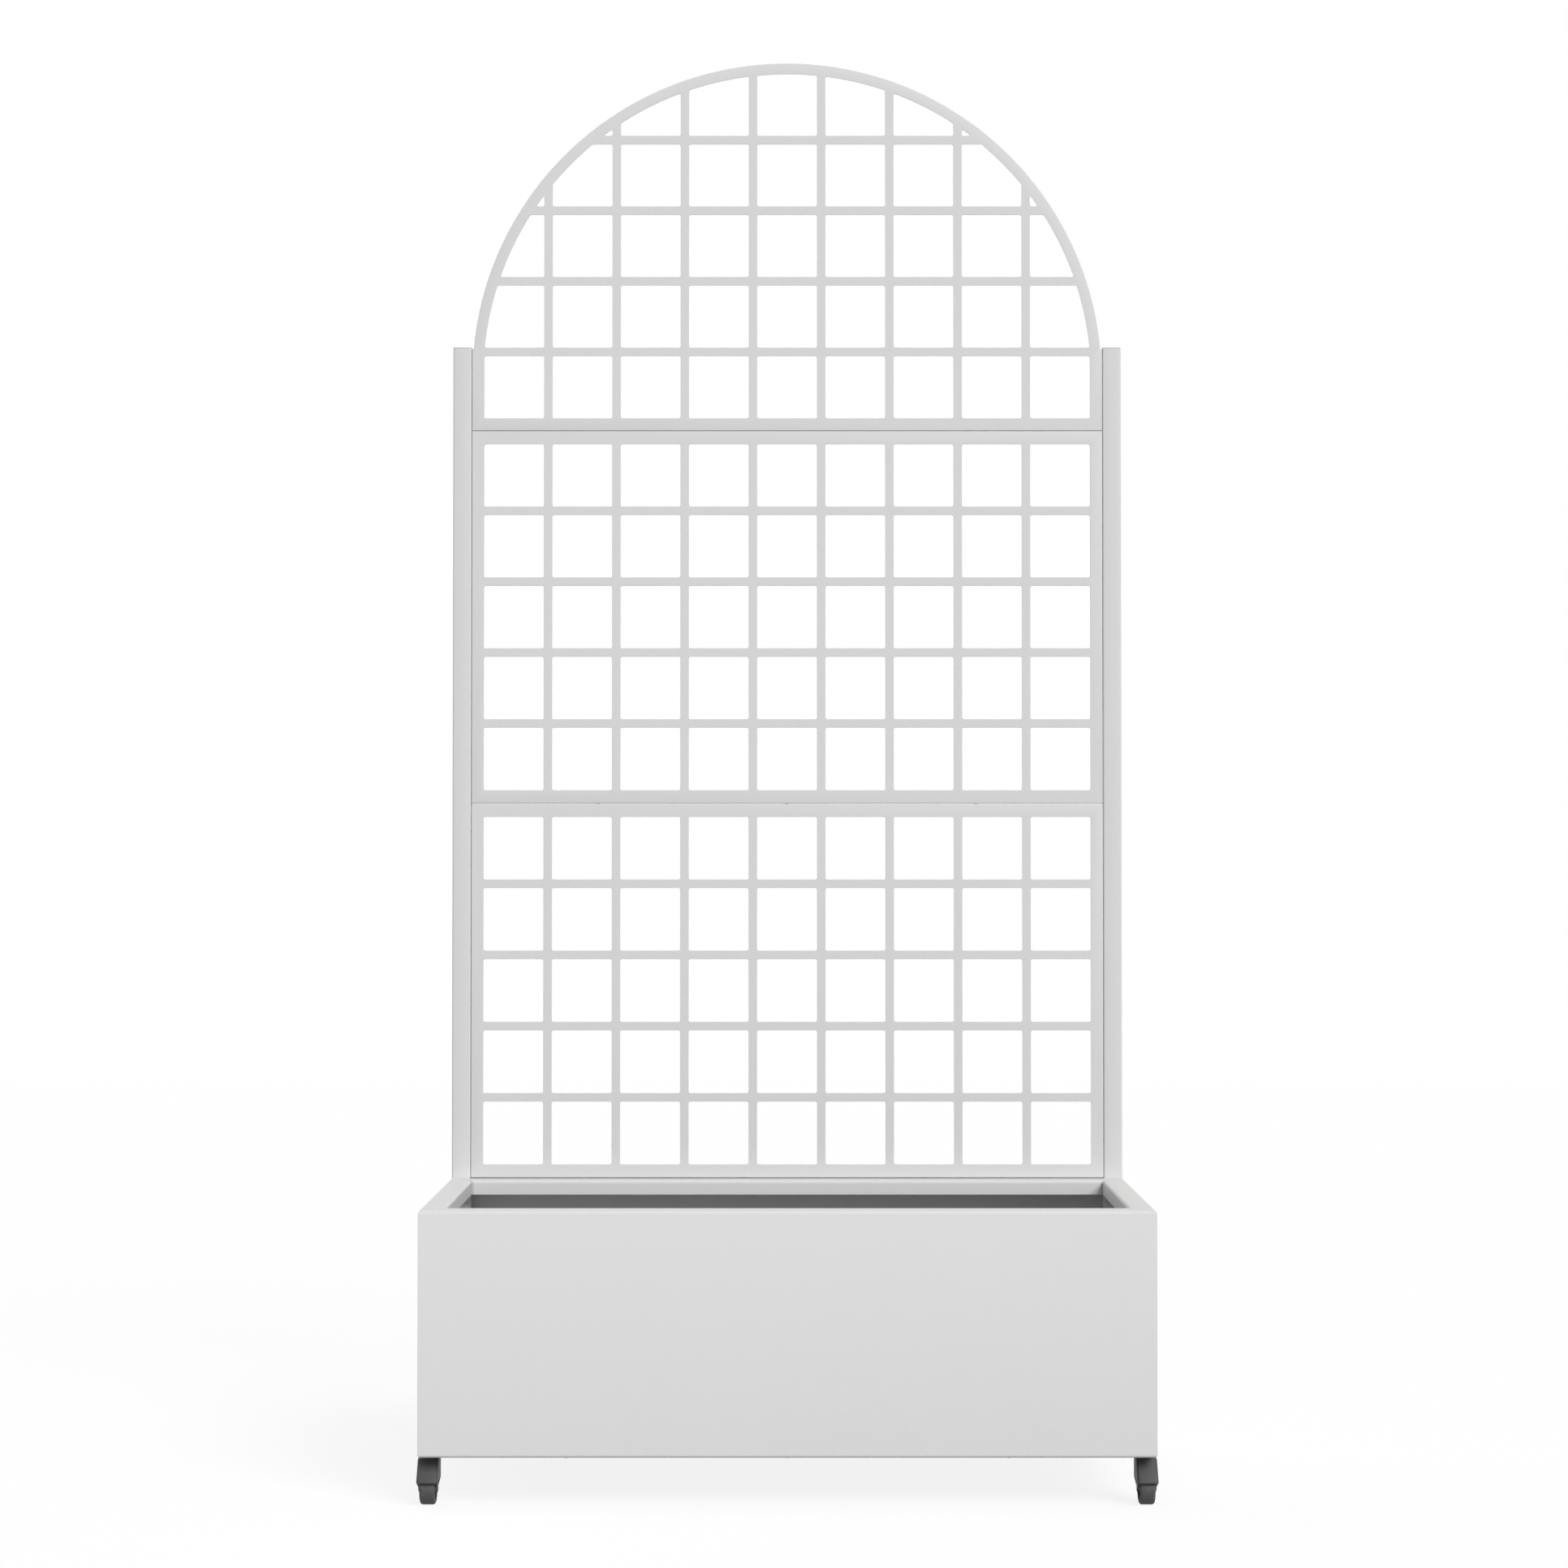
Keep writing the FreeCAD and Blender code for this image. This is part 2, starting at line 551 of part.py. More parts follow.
def make_posts():
    """Square tubes with their caps, and the screws that hold the panels to them."""
    screws = []
    for name, sign in SIDES.items():
        body = doc.addObject("PartDesign::Body", "tube")
        drawing = new_sketch(body, "XY_Plane")
        rounded_rectangle(drawing, "outside", "0", "0", "Size.post_size", "Size.post_size", "Size.post_corner")
        inside = "(Size.post_size - 2 * Size.post_wall)"
        bore_corner = "(Size.post_corner - Size.post_wall)"
        rounded_rectangle(drawing, "inside", "Size.post_wall", "Size.post_wall", inside, inside, bore_corner)
        pad(body, drawing, f"{POST_TOP} - {BASE_TOP}")
        corner = mirrored(sign, POST_IN, POST_OUT)[0]
        place(body, corner, POST_FRONT, BASE_TOP)
        tools = []
        tight = "Size.screw_radius + Size.fit_gap"
        for z in corner_heights():
            reach = "2 * Size.post_wall"
            tools.append(rod(tight, reach, flipped(sign, POST_MID), f"{POST_BACK} + Size.fit_gap", z, FRONTWARD))
        outwards, inwards = (RIGHT, LEFT) if sign > 0 else (LEFT, RIGHT)
        for z in panel_screw_heights():
            face = flipped(sign, f"{POST_IN} - Size.fit_gap")
            tools.append(rod(tight, "2 * Size.post_wall", face, FOLD_MID, z, outwards))
            head = flipped(sign, f"{PANEL_WIDTH} / 2 - Size.panel_sheet")
            screws.append(screw("Size.screw_length", head, FOLD_MID, z, outwards, inwards))
        finish(cut(body, *tools), f"{name}_post")
        lid = doc.addObject("PartDesign::Body", "cap")
        drawing = new_sketch(lid, "XY_Plane")
        rounded_rectangle(drawing, "outside", "0", "0", "Size.post_size", "Size.post_size", "Size.post_corner")
        pad(lid, drawing, "Size.cap_plate")
        place(lid, corner, POST_FRONT, POST_TOP)
        skirt = doc.addObject("PartDesign::Body", "plug")
        drawing = new_sketch(skirt, "XY_Plane")
        wall = "(Size.post_wall + Size.fit_gap)"
        rounded_rectangle(drawing, "plug", wall, wall, f"(Size.post_size - 2 * {wall})",
                          f"(Size.post_size - 2 * {wall})", bore_corner)
        pad(skirt, drawing, "Size.cap_plug + Size.cap_plate / 2")
        place(skirt, corner, POST_FRONT, f"{POST_TOP} - Size.cap_plug")
        finish(join(lid, skirt), f"{name}_post_cap")
    finish(group(*screws), "trellis_screws")


def grid_tray(foot, height, rail):
    """Cut sheet grid with its edges folded back, standing between the posts."""
    body = doc.addObject("PartDesign::Body", "grid_sheet")
    face = new_sketch(body, "XZ_Plane")
    rectangle(face, "face", "0", "0", PANEL_WIDTH, height)
    pad(body, face, "Size.panel_sheet", True)
    ring = new_sketch(body, "XZ_Plane")
    rectangle(ring, "outside", "0", "0", PANEL_WIDTH, height)
    wall = "Size.panel_sheet"
    rectangle(ring, "inside", wall, wall, f"{PANEL_WIDTH} - 2 * {wall}", f"{height} - 2 * {wall}")
    folds = pad(body, ring, "Size.panel_fold", True)
    nearly = value("Size.fit_gap")
    softened = soften(body, folds, "Size.fold_radius", lambda edge: edge.BoundBox.YMax < nearly)
    doc.recompute()
    whole = softened.Shape.Volume
    hole = new_sketch(body, "XZ_Plane")
    rounded_rectangle(hole, "opening", "Size.stile_width", rail, OPENING_WIDTH, "Size.opening_height",
                      "Size.opening_corner")
    pocket = body.newObject("PartDesign::Pocket", "opening")
    pocket.Profile = hole
    bind(pocket, Length="Size.panel_fold")
    doc.recompute()
    if pocket.Shape.Volume >= whole:
        raise RuntimeError("The openings of the trellis cut nothing")
    pattern = body.newObject("PartDesign::LinearPattern", "grid")
    pattern.Originals = [pocket]
    pattern.Direction = (hole, ["H_Axis"])
    pattern.Direction2 = (hole, ["V_Axis"])
    bind(pattern, Occurrences="Size.grid_columns", Occurrences2="Size.grid_rows")
    bind(pattern, Length=f"(Size.grid_columns - 1) * ({OPENING_WIDTH} + Size.bar_width)")
    bind(pattern, Length2="(Size.grid_rows - 1) * (Size.opening_height + Size.bar_width)")
    body.Tip = pattern
    return place(body, f"-{PANEL_WIDTH} / 2", POST_FRONT, foot)


def arched(tray):
    """Top panel: the grid inside a round arch, on straight folded sides."""
    wide = (f"-{PANEL_WIDTH}", PANEL_WIDTH)
    deep = (f"{POST_FRONT} - Size.overrun", f"{POST_FRONT} + Size.panel_fold + Size.overrun")
    shoulders = block(wide, deep, (f"{TOP_FOOT} - Size.overrun", POST_TOP))
    reach = "Size.panel_sheet + 2 * Size.overrun"
    disc = rod(ARCH_RADIUS, reach, "0", f"{POST_FRONT} - Size.overrun", ARCH_CENTRE, REAR)
    outer = rod(ARCH_RADIUS, "Size.panel_sheet", "0", POST_FRONT, ARCH_CENTRE, REAR)
    inner = rod(f"{ARCH_RADIUS} - Size.arch_band", reach, "0", f"{POST_FRONT} - Size.overrun", ARCH_CENTRE, REAR)
    below = block(wide, deep, (f"{ARCH_CENTRE} - 2 * {ARCH_RADIUS}", ARCH_CENTRE))
    band = cut(outer, inner, below)
    return join(overlap(tray, join(shoulders, disc)), band)


def make_trellis():
    """Three trellis panels, and the bolts and nuts that join them."""
    feet = {"bottom": TRELLIS_FOOT, "middle": MIDDLE_FOOT, "top": TOP_FOOT}
    top_height = f"({ARCH_RISE} + Size.panel_sheet + Size.overrun)"
    bolts, nuts, joint_holes = [], [], []
    stack = "(2 * Size.panel_sheet + Size.panel_seam)"
    for seam in (MIDDLE_FOOT, TOP_FOOT):
        under = f"({seam} - Size.panel_seam - Size.panel_sheet)"
        for share in ACROSS_SHARES:
            x = f"{PANEL_WIDTH} * {share}"
            length = f"{stack} + Size.nut_height + Size.screw_radius / 2"
            bolts.append(screw(length, x, FOLD_MID, under, UP, DOWN))
            over = f"{under} + {stack}"
            nuts.append(nut("Size.nut_across", "Size.nut_height", "Size.screw_radius", x, FOLD_MID, over))
            wide = "Size.screw_radius + Size.hole_gap"
            low = f"{under} - Size.panel_sheet"
            joint_holes.append((wide, f"{stack} + 2 * Size.panel_sheet", x, FOLD_MID, low))
    for name, foot in feet.items():
        if name == "top":
            panel = arched(grid_tray(foot, top_height, "Size.arch_rail"))
        else:
            panel = grid_tray(foot, PANEL_HEIGHT, "Size.rail_width")
        tools = [rod(*hole) for hole in joint_holes]
        for z in panel_screw_heights():
            wide = "Size.screw_radius + Size.hole_gap"
            for sign, turn in ((1, RIGHT), (-1, LEFT)):
                x = flipped(sign, f"{PANEL_WIDTH} / 2 - 2 * Size.panel_sheet")
                tools.append(rod(wide, "3 * Size.panel_sheet", x, FOLD_MID, z, turn))
        finish(cut(panel, *tools), f"trellis_{name}_panel")
    finish(group(*bolts), "trellis_bolts")
    finish(group(*nuts), "trellis_nuts")


def make_caster(name, x, y):
    """One swivel caster under a corner: stem, washer, fork, axle, hub and tyre."""
    stem_top = f"({BASE_TOP} + Size.plate_thick + Size.stem_nut_height + Size.stem_reach)"
    collar_low = f"({UNDER} - Size.collar_height)"
    stem = join(
        rod("Size.stem_radius", f"{stem_top} - {UNDER} + Size.collar_height", x, y, collar_low),
        rod("Size.collar_radius", "Size.collar_height", x, y, collar_low),
        rod("Size.neck_radius", f"{UNDER} - {PIVOT_TOP} + Size.pivot_head - Size.collar_height / 2", x, y,
            f"{PIVOT_TOP} - Size.pivot_head"),
        rod("Size.pivot_head_radius", "Size.pivot_head", x, y, f"{PIVOT_TOP} - Size.pivot_head"),
    )
    finish(stem, f"{name}_caster_stem")
    running = "Size.neck_radius + Size.fit_gap"
    ring = rod("Size.collar_radius", "Size.washer_thick", x, y, FORK_TOP)
    finish(cut(ring, rod(running, "Size.washer_thick", x, y, FORK_TOP)), f"{name}_swivel_washer")

    wheel_y = f"({y} - Size.trail)"
    wheel_z = "Size.wheel_radius"
    half = "Size.fork_width / 2"
    wide = (f"{x} - {half}", f"{x} + {half}")
    left = f"{x} - {half}"
    hood_radius = f"({CAVITY_RADIUS} + Size.hood_thick)"
    hood_y = (f"{wheel_y} - {hood_radius} - Size.overrun", f"{wheel_y} + {hood_radius} + Size.overrun")
    hood = cut(
        rod(hood_radius, "Size.fork_width", left, wheel_y, wheel_z, RIGHT),
        block((f"{left} - Size.overrun", f"{x} + {half} + Size.overrun"), hood_y,
              (f"{wheel_z} - {hood_radius} - Size.overrun", "Size.hood_bottom")),
    )
    crown = block(wide, (wheel_y, f"{y} + Size.fork_reach"), (f"{wheel_z} + {CAVITY_RADIUS} / 2", FORK_TOP))
    brow = doc.addObject("Part::Wedge", "brow")
    bind(brow, Ymin="0", Ymax=f"{FORK_TOP} - {wheel_z} - {CAVITY_RADIUS} / 2", Xmin=f"-{half}", Xmax=half)
    bind(brow, X2min=f"-{half}", X2max=half, Zmin="0", Zmax=CAVITY_RADIUS, Z2min="0", Z2max="Size.brow_reach")
    place(brow, x, wheel_y, f"{wheel_z} + {CAVITY_RADIUS} / 2", FRONTWARD)
    legs = doc.addObject("Part::Wedge", "legs")
    bind(legs, Ymin="0", Ymax=f"Size.hood_bottom - {wheel_z}", Xmin=f"-{half}", Xmax=half)
    bind(legs, X2min=f"-{AXLE_SEAT}", X2max=AXLE_SEAT, Zmin="-Size.wheel_radius", Zmax="Size.wheel_radius")
    bind(legs, Z2min="-Size.boss_radius", Z2max="Size.boss_radius")
    place(legs, x, wheel_y, "Size.hood_bottom", REAR)
    boss = rod("Size.boss_radius", "Size.fork_foot_width", f"{x} - {AXLE_SEAT}", wheel_y, wheel_z, RIGHT)
    room = "(Size.wheel_width + 2 * Size.wheel_gap)"
    spot = "Size.axle_head_radius + Size.hole_gap"
    tools = [
        rod(CAVITY_RADIUS, room, f"{x} - {room} / 2", wheel_y, wheel_z, RIGHT),
        rod(running, "Size.fork_crown + 2 * Size.overrun", x, y, f"{FORK_LOW} - Size.overrun"),
        rod("Size.pivot_head_radius + Size.seat_gap", f"{FORK_LOW} - {wheel_z} * 3 / 2", x, y, f"{wheel_z} * 3 / 2"),
        rod("Size.axle_radius + Size.fit_gap", "Size.fork_width", left, wheel_y, wheel_z, RIGHT),
        rod(spot, "Size.overrun", f"{x} + {AXLE_SEAT}", wheel_y, wheel_z, RIGHT),
        rod(spot, "Size.overrun", f"{x} - {AXLE_SEAT}", wheel_y, wheel_z, LEFT),
    ]
    finish(cut(join(hood, crown, brow, legs, boss), *tools), f"{name}_caster_fork")
    axle = join(
        rod("Size.axle_radius", "Size.fork_foot_width", f"{x} - {AXLE_SEAT}", wheel_y, wheel_z, RIGHT),
        rod("Size.axle_head_radius", "Size.axle_head", f"{x} + {AXLE_SEAT}", wheel_y, wheel_z, RIGHT),
        rod("Size.axle_head_radius", "Size.axle_head", f"{x} - {AXLE_SEAT}", wheel_y, wheel_z, LEFT),
    )
    finish(axle, f"{name}_caster_axle")

    hub_tools = [rod("Size.axle_radius + Size.fit_gap", "Size.wheel_width", f"{x} - Size.wheel_width / 2",
                     wheel_y, wheel_z, RIGHT)]
    for start, turn in ((f"{x} + {HUB_HALF}", LEFT), (f"{x} - {HUB_HALF}", RIGHT)):
        disc = rod(f"{HUB_RADIUS} - Size.hub_rim", "Size.hub_recess", start, wheel_y, wheel_z, turn)
        hub_tools.append(cut(disc, rod("Size.hub_boss_radius", "Size.hub_recess", start, wheel_y, wheel_z, turn)))
    core = rod(HUB_RADIUS, f"2 * {HUB_HALF}", f"{x} - {HUB_HALF}", wheel_y, wheel_z, RIGHT)
    finish(cut(core, *hub_tools), f"{name}_wheel_hub")
    body = doc.addObject("PartDesign::Body", "tread")
    drawing = new_sketch(body, "YZ_Plane")
    circle = drawing.addGeometry(Part.Circle(Vector(), Vector(0, 0, 1), value("Size.wheel_radius")))
    drawing.addConstraint(Sketcher.Constraint("Coincident", circle, 3, -1, 1))
    limit(drawing, "tread_radius", "Size.wheel_radius", "Radius", circle)
    tread = pad(body, drawing, "Size.wheel_width")
    soften(body, tread, "Size.tyre_shoulder", lambda edge: edge.isClosed())
    place(body, f"{x} - Size.wheel_width / 2", wheel_y, wheel_z)
    bore = rod("Size.wheel_radius - Size.tyre_thick", "Size.wheel_width", f"{x} - Size.wheel_width / 2",
               wheel_y, wheel_z, RIGHT)
    finish(cut(body, bore), f"{name}_wheel_tyre")


def make_casters():
    """Four casters with the plates and nuts that hold their stems."""
    plates, nuts = [], []
    for row_name, y in (("front", f"({FRONT} + {CASTER_DEEP})"), ("back", f"({BACK} - {CASTER_DEEP})")):
        for side_name, sign in SIDES.items():
            x = flipped(sign, CASTER_SIDE)
            make_caster(f"{row_name}_{side_name}", x, y)
            wide = mirrored(sign, f"{POST_OUT} - Size.plate_width", POST_OUT)
            deep = (f"{y} - Size.plate_length / 2", f"{y} + Size.plate_length / 2")
            plate = block(wide, deep, (BASE_TOP, f"{BASE_TOP} + Size.plate_thick"))
            hole = rod("Size.stem_radius + Size.hole_gap", "2 * Size.plate_thick", x, y, BASE_TOP)
            plates.append(cut(plate, hole))
            nuts.append(nut("Size.stem_nut_across", "Size.stem_nut_height", "Size.stem_radius", x, y,
                            f"{BASE_TOP} + Size.plate_thick"))
    finish(group(*plates), "caster_plates")
    finish(group(*nuts), "caster_nuts")


def check_and_write():
    """Refuse a failed or broken piece, then write every piece to its own file."""
    doc.recompute()
    failed = [item.Label for item in doc.Objects if "Invalid" in item.State or "Error" in item.State]
    if failed:
        raise RuntimeError(f"Failed objects: {failed}")
    for item in parts:
        if item.Shape.isNull() or not item.Shape.isValid() or not item.Shape.Solids:
            raise RuntimeError(f"Broken shape: {item.Label}")
    os.makedirs("parts", exist_ok=True)
    for item in parts:
        item.Shape.exportStep(f"parts/{item.Label}.step")
        print(item.Label, len(item.Shape.Solids), "solid(s)", round(item.Shape.Volume), "mm3")


make_walls()
make_base()
make_corner_fasteners()
make_posts()
make_trellis()
make_casters()
check_and_write()
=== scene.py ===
"""Looks of a sheet-steel planter box on casters, with an arched trellis at its back."""

import logging
import math
from dataclasses import dataclass
from enum import Enum
from typing import Any, Iterable, Sequence

import bmesh
import bpy
from mathutils import Matrix, Vector
from mathutils.geometry import delaunay_2d_cdt


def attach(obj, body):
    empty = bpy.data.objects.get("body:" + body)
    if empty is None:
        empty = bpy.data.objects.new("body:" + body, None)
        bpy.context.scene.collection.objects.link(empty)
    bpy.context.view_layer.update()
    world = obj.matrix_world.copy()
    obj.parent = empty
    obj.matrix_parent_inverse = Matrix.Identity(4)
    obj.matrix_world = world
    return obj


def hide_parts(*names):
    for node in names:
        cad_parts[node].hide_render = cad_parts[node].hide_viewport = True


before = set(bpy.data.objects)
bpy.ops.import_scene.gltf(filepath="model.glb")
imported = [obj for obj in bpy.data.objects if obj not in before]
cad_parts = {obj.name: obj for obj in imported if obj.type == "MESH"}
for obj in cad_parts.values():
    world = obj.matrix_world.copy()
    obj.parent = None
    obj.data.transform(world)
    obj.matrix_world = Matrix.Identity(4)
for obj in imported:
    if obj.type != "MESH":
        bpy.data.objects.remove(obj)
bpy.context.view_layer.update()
LOG = logging.getLogger("planter")

Point2 = tuple[float, float]
Colour = tuple[float, float, float]
SHARP_ANGLE = math.radians(32.0)
WELD = 1e-6


class Slot(str, Enum):
    """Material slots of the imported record."""

    COAT = "coat"
    CAP = "cap"
    ZINC = "zinc"
    SCREW = "painted_screw"
    STEEL = "steel"
    PLASTIC = "black_plastic"
    HUB = "hub"
    TREAD = "tread"


class Side(float, Enum):
    """Left and right halves, with the sign of their x."""

    LEFT = -1.0
    RIGHT = 1.0

    @property
    def word(self) -> str:
        """Name of the side as the nodes use it."""
        return self.name.lower()


class Row(str, Enum):
    """Front and back pair of casters."""

    FRONT = "front"
    BACK = "back"


class Wire:
    """A shader value that takes part in Python arithmetic."""

    def __init__(self, graph: "Graph", socket: bpy.types.NodeSocket) -> None:
        """Keep the graph and the output socket that carries the value."""
        self.graph = graph
        self.socket = socket

    def _math(self, operation: str, first: Any, second: Any) -> "Wire":
        """Add one Math node.

        Args:
            operation: The node's operation.
            first: Number or wire on its first input.
            second: Number or wire on its second input.

        Returns:
            The node's result.
        """
        return self.graph.node("ShaderNodeMath", {"operation": operation}, {0: first, 1: second})

    def __add__(self, other: Any) -> "Wire":
        """Sum."""
        return self._math("ADD", self, other)

    def __radd__(self, other: Any) -> "Wire":
        """Sum with a number on the left."""
        return self._math("ADD", other, self)

    def __sub__(self, other: Any) -> "Wire":
        """Difference."""
        return self._math("SUBTRACT", self, other)

    def __rsub__(self, other: Any) -> "Wire":
        """Difference from a number on the left."""
        return self._math("SUBTRACT", other, self)

    def __mul__(self, other: Any) -> "Wire":
        """Product."""
        return self._math("MULTIPLY", self, other)

    def __rmul__(self, other: Any) -> "Wire":
        """Product with a number on the left."""
        return self._math("MULTIPLY", other, self)

    def step(self, low: float, high: float) -> "Wire":
        """Smooth rise from 0 at low to 1 at high.

        Args:
            low: Value below which the result is 0.
            high: Value above which the result is 1.

        Returns:
            The eased share.
        """
        settings = {"interpolation_type": "SMOOTHSTEP"}
        sockets = {"Value": self, "From Min": low, "From Max": high}
        return self.graph.node("ShaderNodeMapRange", settings, sockets)


class Graph:
    """Node tree of one finish."""

    def __init__(self, name: str) -> None:
        """Start a material with an empty tree and its output."""
        self.material = bpy.data.materials.new(name)
        self.material.use_nodes = True
        self.tree = self.material.node_tree
        self.tree.nodes.clear()
        self.output = self.tree.nodes.new("ShaderNodeOutputMaterial")

    def node(self, kind: str, settings: dict[str, Any], sockets: dict[Any, Any], out: Any = 0) -> Wire:
        """Add any node, set it up and feed its sockets.

        Args:
            kind: Blender's name of the node's type.
            settings: Attributes of the node.
            sockets: Numbers, colours or wires by socket name or number.
            out: Name or number of the output that is wanted.

        Returns:
            The wanted output.
        """
        added = self.tree.nodes.new(kind)
        for key, setting in settings.items():
            setattr(added, key, setting)
        for key, given in sockets.items():
            if isinstance(given, Wire):
                self.tree.links.new(given.socket, added.inputs[key])
            else:
                added.inputs[key].default_value = given
        return Wire(self, added.outputs[out])

    def place(self) -> Wire:
        """Object coordinates of the surface point."""
        return self.node("ShaderNodeTexCoord", {}, {}, "Object")

    def axes(self) -> tuple[Wire, Wire, Wire]:
        """Separate x, y and z of the surface point."""
        split = self.node("ShaderNodeSeparateXYZ", {}, {0: self.place()})
        owner = split.socket.node
        return tuple(Wire(self, owner.outputs[index]) for index in range(3))

    def noise(self, scale: float, detail: float, roughness: float, stretch: Colour | None = None) -> Wire:
        """Noise from 0 to 1 on object coordinates.

        Args:
            scale: Features per metre.
            detail: Octaves.
            roughness: Share that each octave keeps.
            stretch: Scale of each axis, for grain with a direction.

        Returns:
            The noise value.
        """
        where = self.place()
        if stretch is not None:
            where = self.node("ShaderNodeMapping", {}, {"Vector": where, "Scale": stretch})
        inputs = {"Vector": where, "Scale": scale, "Detail": detail, "Roughness": roughness}
        return self.node("ShaderNodeTexNoise", {}, inputs)

    def cells(self, scale: float) -> Wire:
        """Distance of a cell pattern on object coordinates."""
        sockets = {"Vector": self.place(), "Scale": scale}
        return self.node("ShaderNodeTexVoronoi", {"feature": "F1"}, sockets, "Distance")

    def mix(self, share: Any, first: Any, second: Any) -> Wire:
        """Colour between two colours.

        Args:
            share: Number or wire, 0 for the first and 1 for the second.
            first: Colour or wire.
            second: Colour or wire.

        Returns:
            The mixed colour.
        """
        colours = [value if isinstance(value, Wire) else (*value, 1.0) for value in (first, second)]
        added = self.tree.nodes.new("ShaderNodeMix")
        added.data_type = "RGBA"
        for socket, given in zip((added.inputs[0], added.inputs[6], added.inputs[7]), (share, *colours)):
            if isinstance(given, Wire):
                self.tree.links.new(given.socket, socket)
            else:
                socket.default_value = given
        return Wire(self, added.outputs[2])

    def bump(self, height: Wire, strength: float, depth: float, under: Wire | None = None) -> Wire:
        """Surface direction of a height pattern.

        Args:
            height: Height from 0 to 1.
            strength: Share of the pattern that shows.
            depth: Real height in metres.
            under: Another bump below this one.

        Returns:
            The surface direction.
        """
        sockets: dict[str, Any] = {"Height": height, "Strength": strength, "Distance": depth}
        if under is not None:
            sockets["Normal"] = under
        return self.node("ShaderNodeBump", {}, sockets)

    def surface(self, sockets: dict[str, Any]) -> bpy.types.Material:
        """Close the tree with the surface shader.

        Args:
            sockets: Values and wires of the shader's sockets.

        Returns:
            The finished material.
        """
        shader = self.node("ShaderNodeBsdfPrincipled", {}, sockets)
        self.tree.links.new(shader.socket, self.output.inputs["Surface"])
        return self.material


@dataclass(frozen=True)
class Zone:
    """A box of the object in which a coat takes a darker tint of painted shade, with soft edges."""

    tint: Colour
    low: Colour
    high: Colour
    ease: float = 0.0003

    def share(self, graph: Graph) -> Wire:
        """Share of the tint: 1 inside the box and 0 outside it.

        Args:
            graph: The finish's node tree.

        Returns:
            The mask.
        """
        mask: Wire | None = None
        for axis, low, high in zip(graph.axes(), self.low, self.high):
            within = axis.step(low, low + self.ease) * (1.0 - axis.step(high - self.ease, high))
            mask = within if mask is None else mask * within
        return mask


@dataclass(frozen=True)
class PowderCoat:
    """Satin powder coat with its fine orange peel, and zones of painted shade where it is given them."""

    name: str
    colour: Colour = (0.755, 0.755, 0.755)
    dust: Colour = (0.685, 0.68, 0.67)
    zones: tuple[Zone, ...] = ()
    cloud_scale: float = 2.3
    speck_scale: float = 46.0
    peel_scale: float = 430.0
    grain_scale: float = 1700.0
    roughness: float = 0.46
    sheen: float = 0.36

    def make(self) -> bpy.types.Material:
        """Build the finish."""
        graph = Graph(self.name)
        cloud = graph.noise(self.cloud_scale, 3.0, 0.55)
        speck = graph.noise(self.speck_scale, 3.0, 0.6)
        tint = graph.mix((cloud * 0.6 + speck * 0.4).step(0.42, 0.78) * 0.16, self.colour, self.dust)
        # Painted shade: each zone lays its darker tint over the coat.
        for zone in self.zones:
            tint = graph.mix(zone.share(graph), tint, zone.tint)
        peel = graph.noise(self.peel_scale, 2.0, 0.5)
        grain = graph.noise(self.grain_scale, 1.0, 0.5)
        relief = graph.bump(grain, 0.16, 0.00008, graph.bump(peel, 0.34, 0.00016))
        gloss = self.roughness + 0.11 * speck + 0.05 * cloud
        sockets = {"Base Color": tint, "Roughness": gloss, "Normal": relief, "Specular IOR Level": self.sheen}
        return graph.surface(sockets)


@dataclass(frozen=True)
class MouldedPlastic:
    """Injection-moulded plastic with a fine spark-eroded grain."""

    name: str
    colour: Colour
    worn: Colour
    roughness: float = 0.46
    sheen: float = 0.3
    scuff_scale: float = 90.0
    grain_scale: float = 2600.0

    def make(self) -> bpy.types.Material:
        """Build the finish."""
        graph = Graph(self.name)
        scuff = graph.noise(self.scuff_scale, 4.0, 0.62)
        tint = graph.mix(scuff.step(0.56, 0.8) * 0.45, self.colour, self.worn)
        grain = graph.cells(self.grain_scale)
        relief = graph.bump(grain, 0.25, 0.00005)
        gloss = self.roughness + 0.12 * scuff
        sockets = {"Base Color": tint, "Roughness": gloss, "Normal": relief, "Specular IOR Level": self.sheen}
        return graph.surface(sockets)


@dataclass(frozen=True)
class ZincPlate:
    """Bright zinc plate with faint spangle and draw marks."""

    name: str = "bright_zinc_plate"
    colour: Colour = (0.56, 0.57, 0.59)
    shade: Colour = (0.42, 0.43, 0.45)
    roughness: float = 0.30
    spangle_scale: float = 420.0
    draw_scale: float = 300.0

    def make(self) -> bpy.types.Material:
        """Build the finish."""
        graph = Graph(self.name)
        spangle = graph.cells(self.spangle_scale)
        draw = graph.noise(self.draw_scale, 3.0, 0.6, (1.0, 1.0, 9.0))
        tint = graph.mix((spangle * 0.5 + draw * 0.5).step(0.2, 0.7), self.colour, self.shade)
        relief = graph.bump(draw, 0.12, 0.00004)
        gloss = self.roughness + 0.14 * draw
        return graph.surface({"Base Color": tint, "Roughness": gloss, "Normal": relief, "Metallic": 1.0})


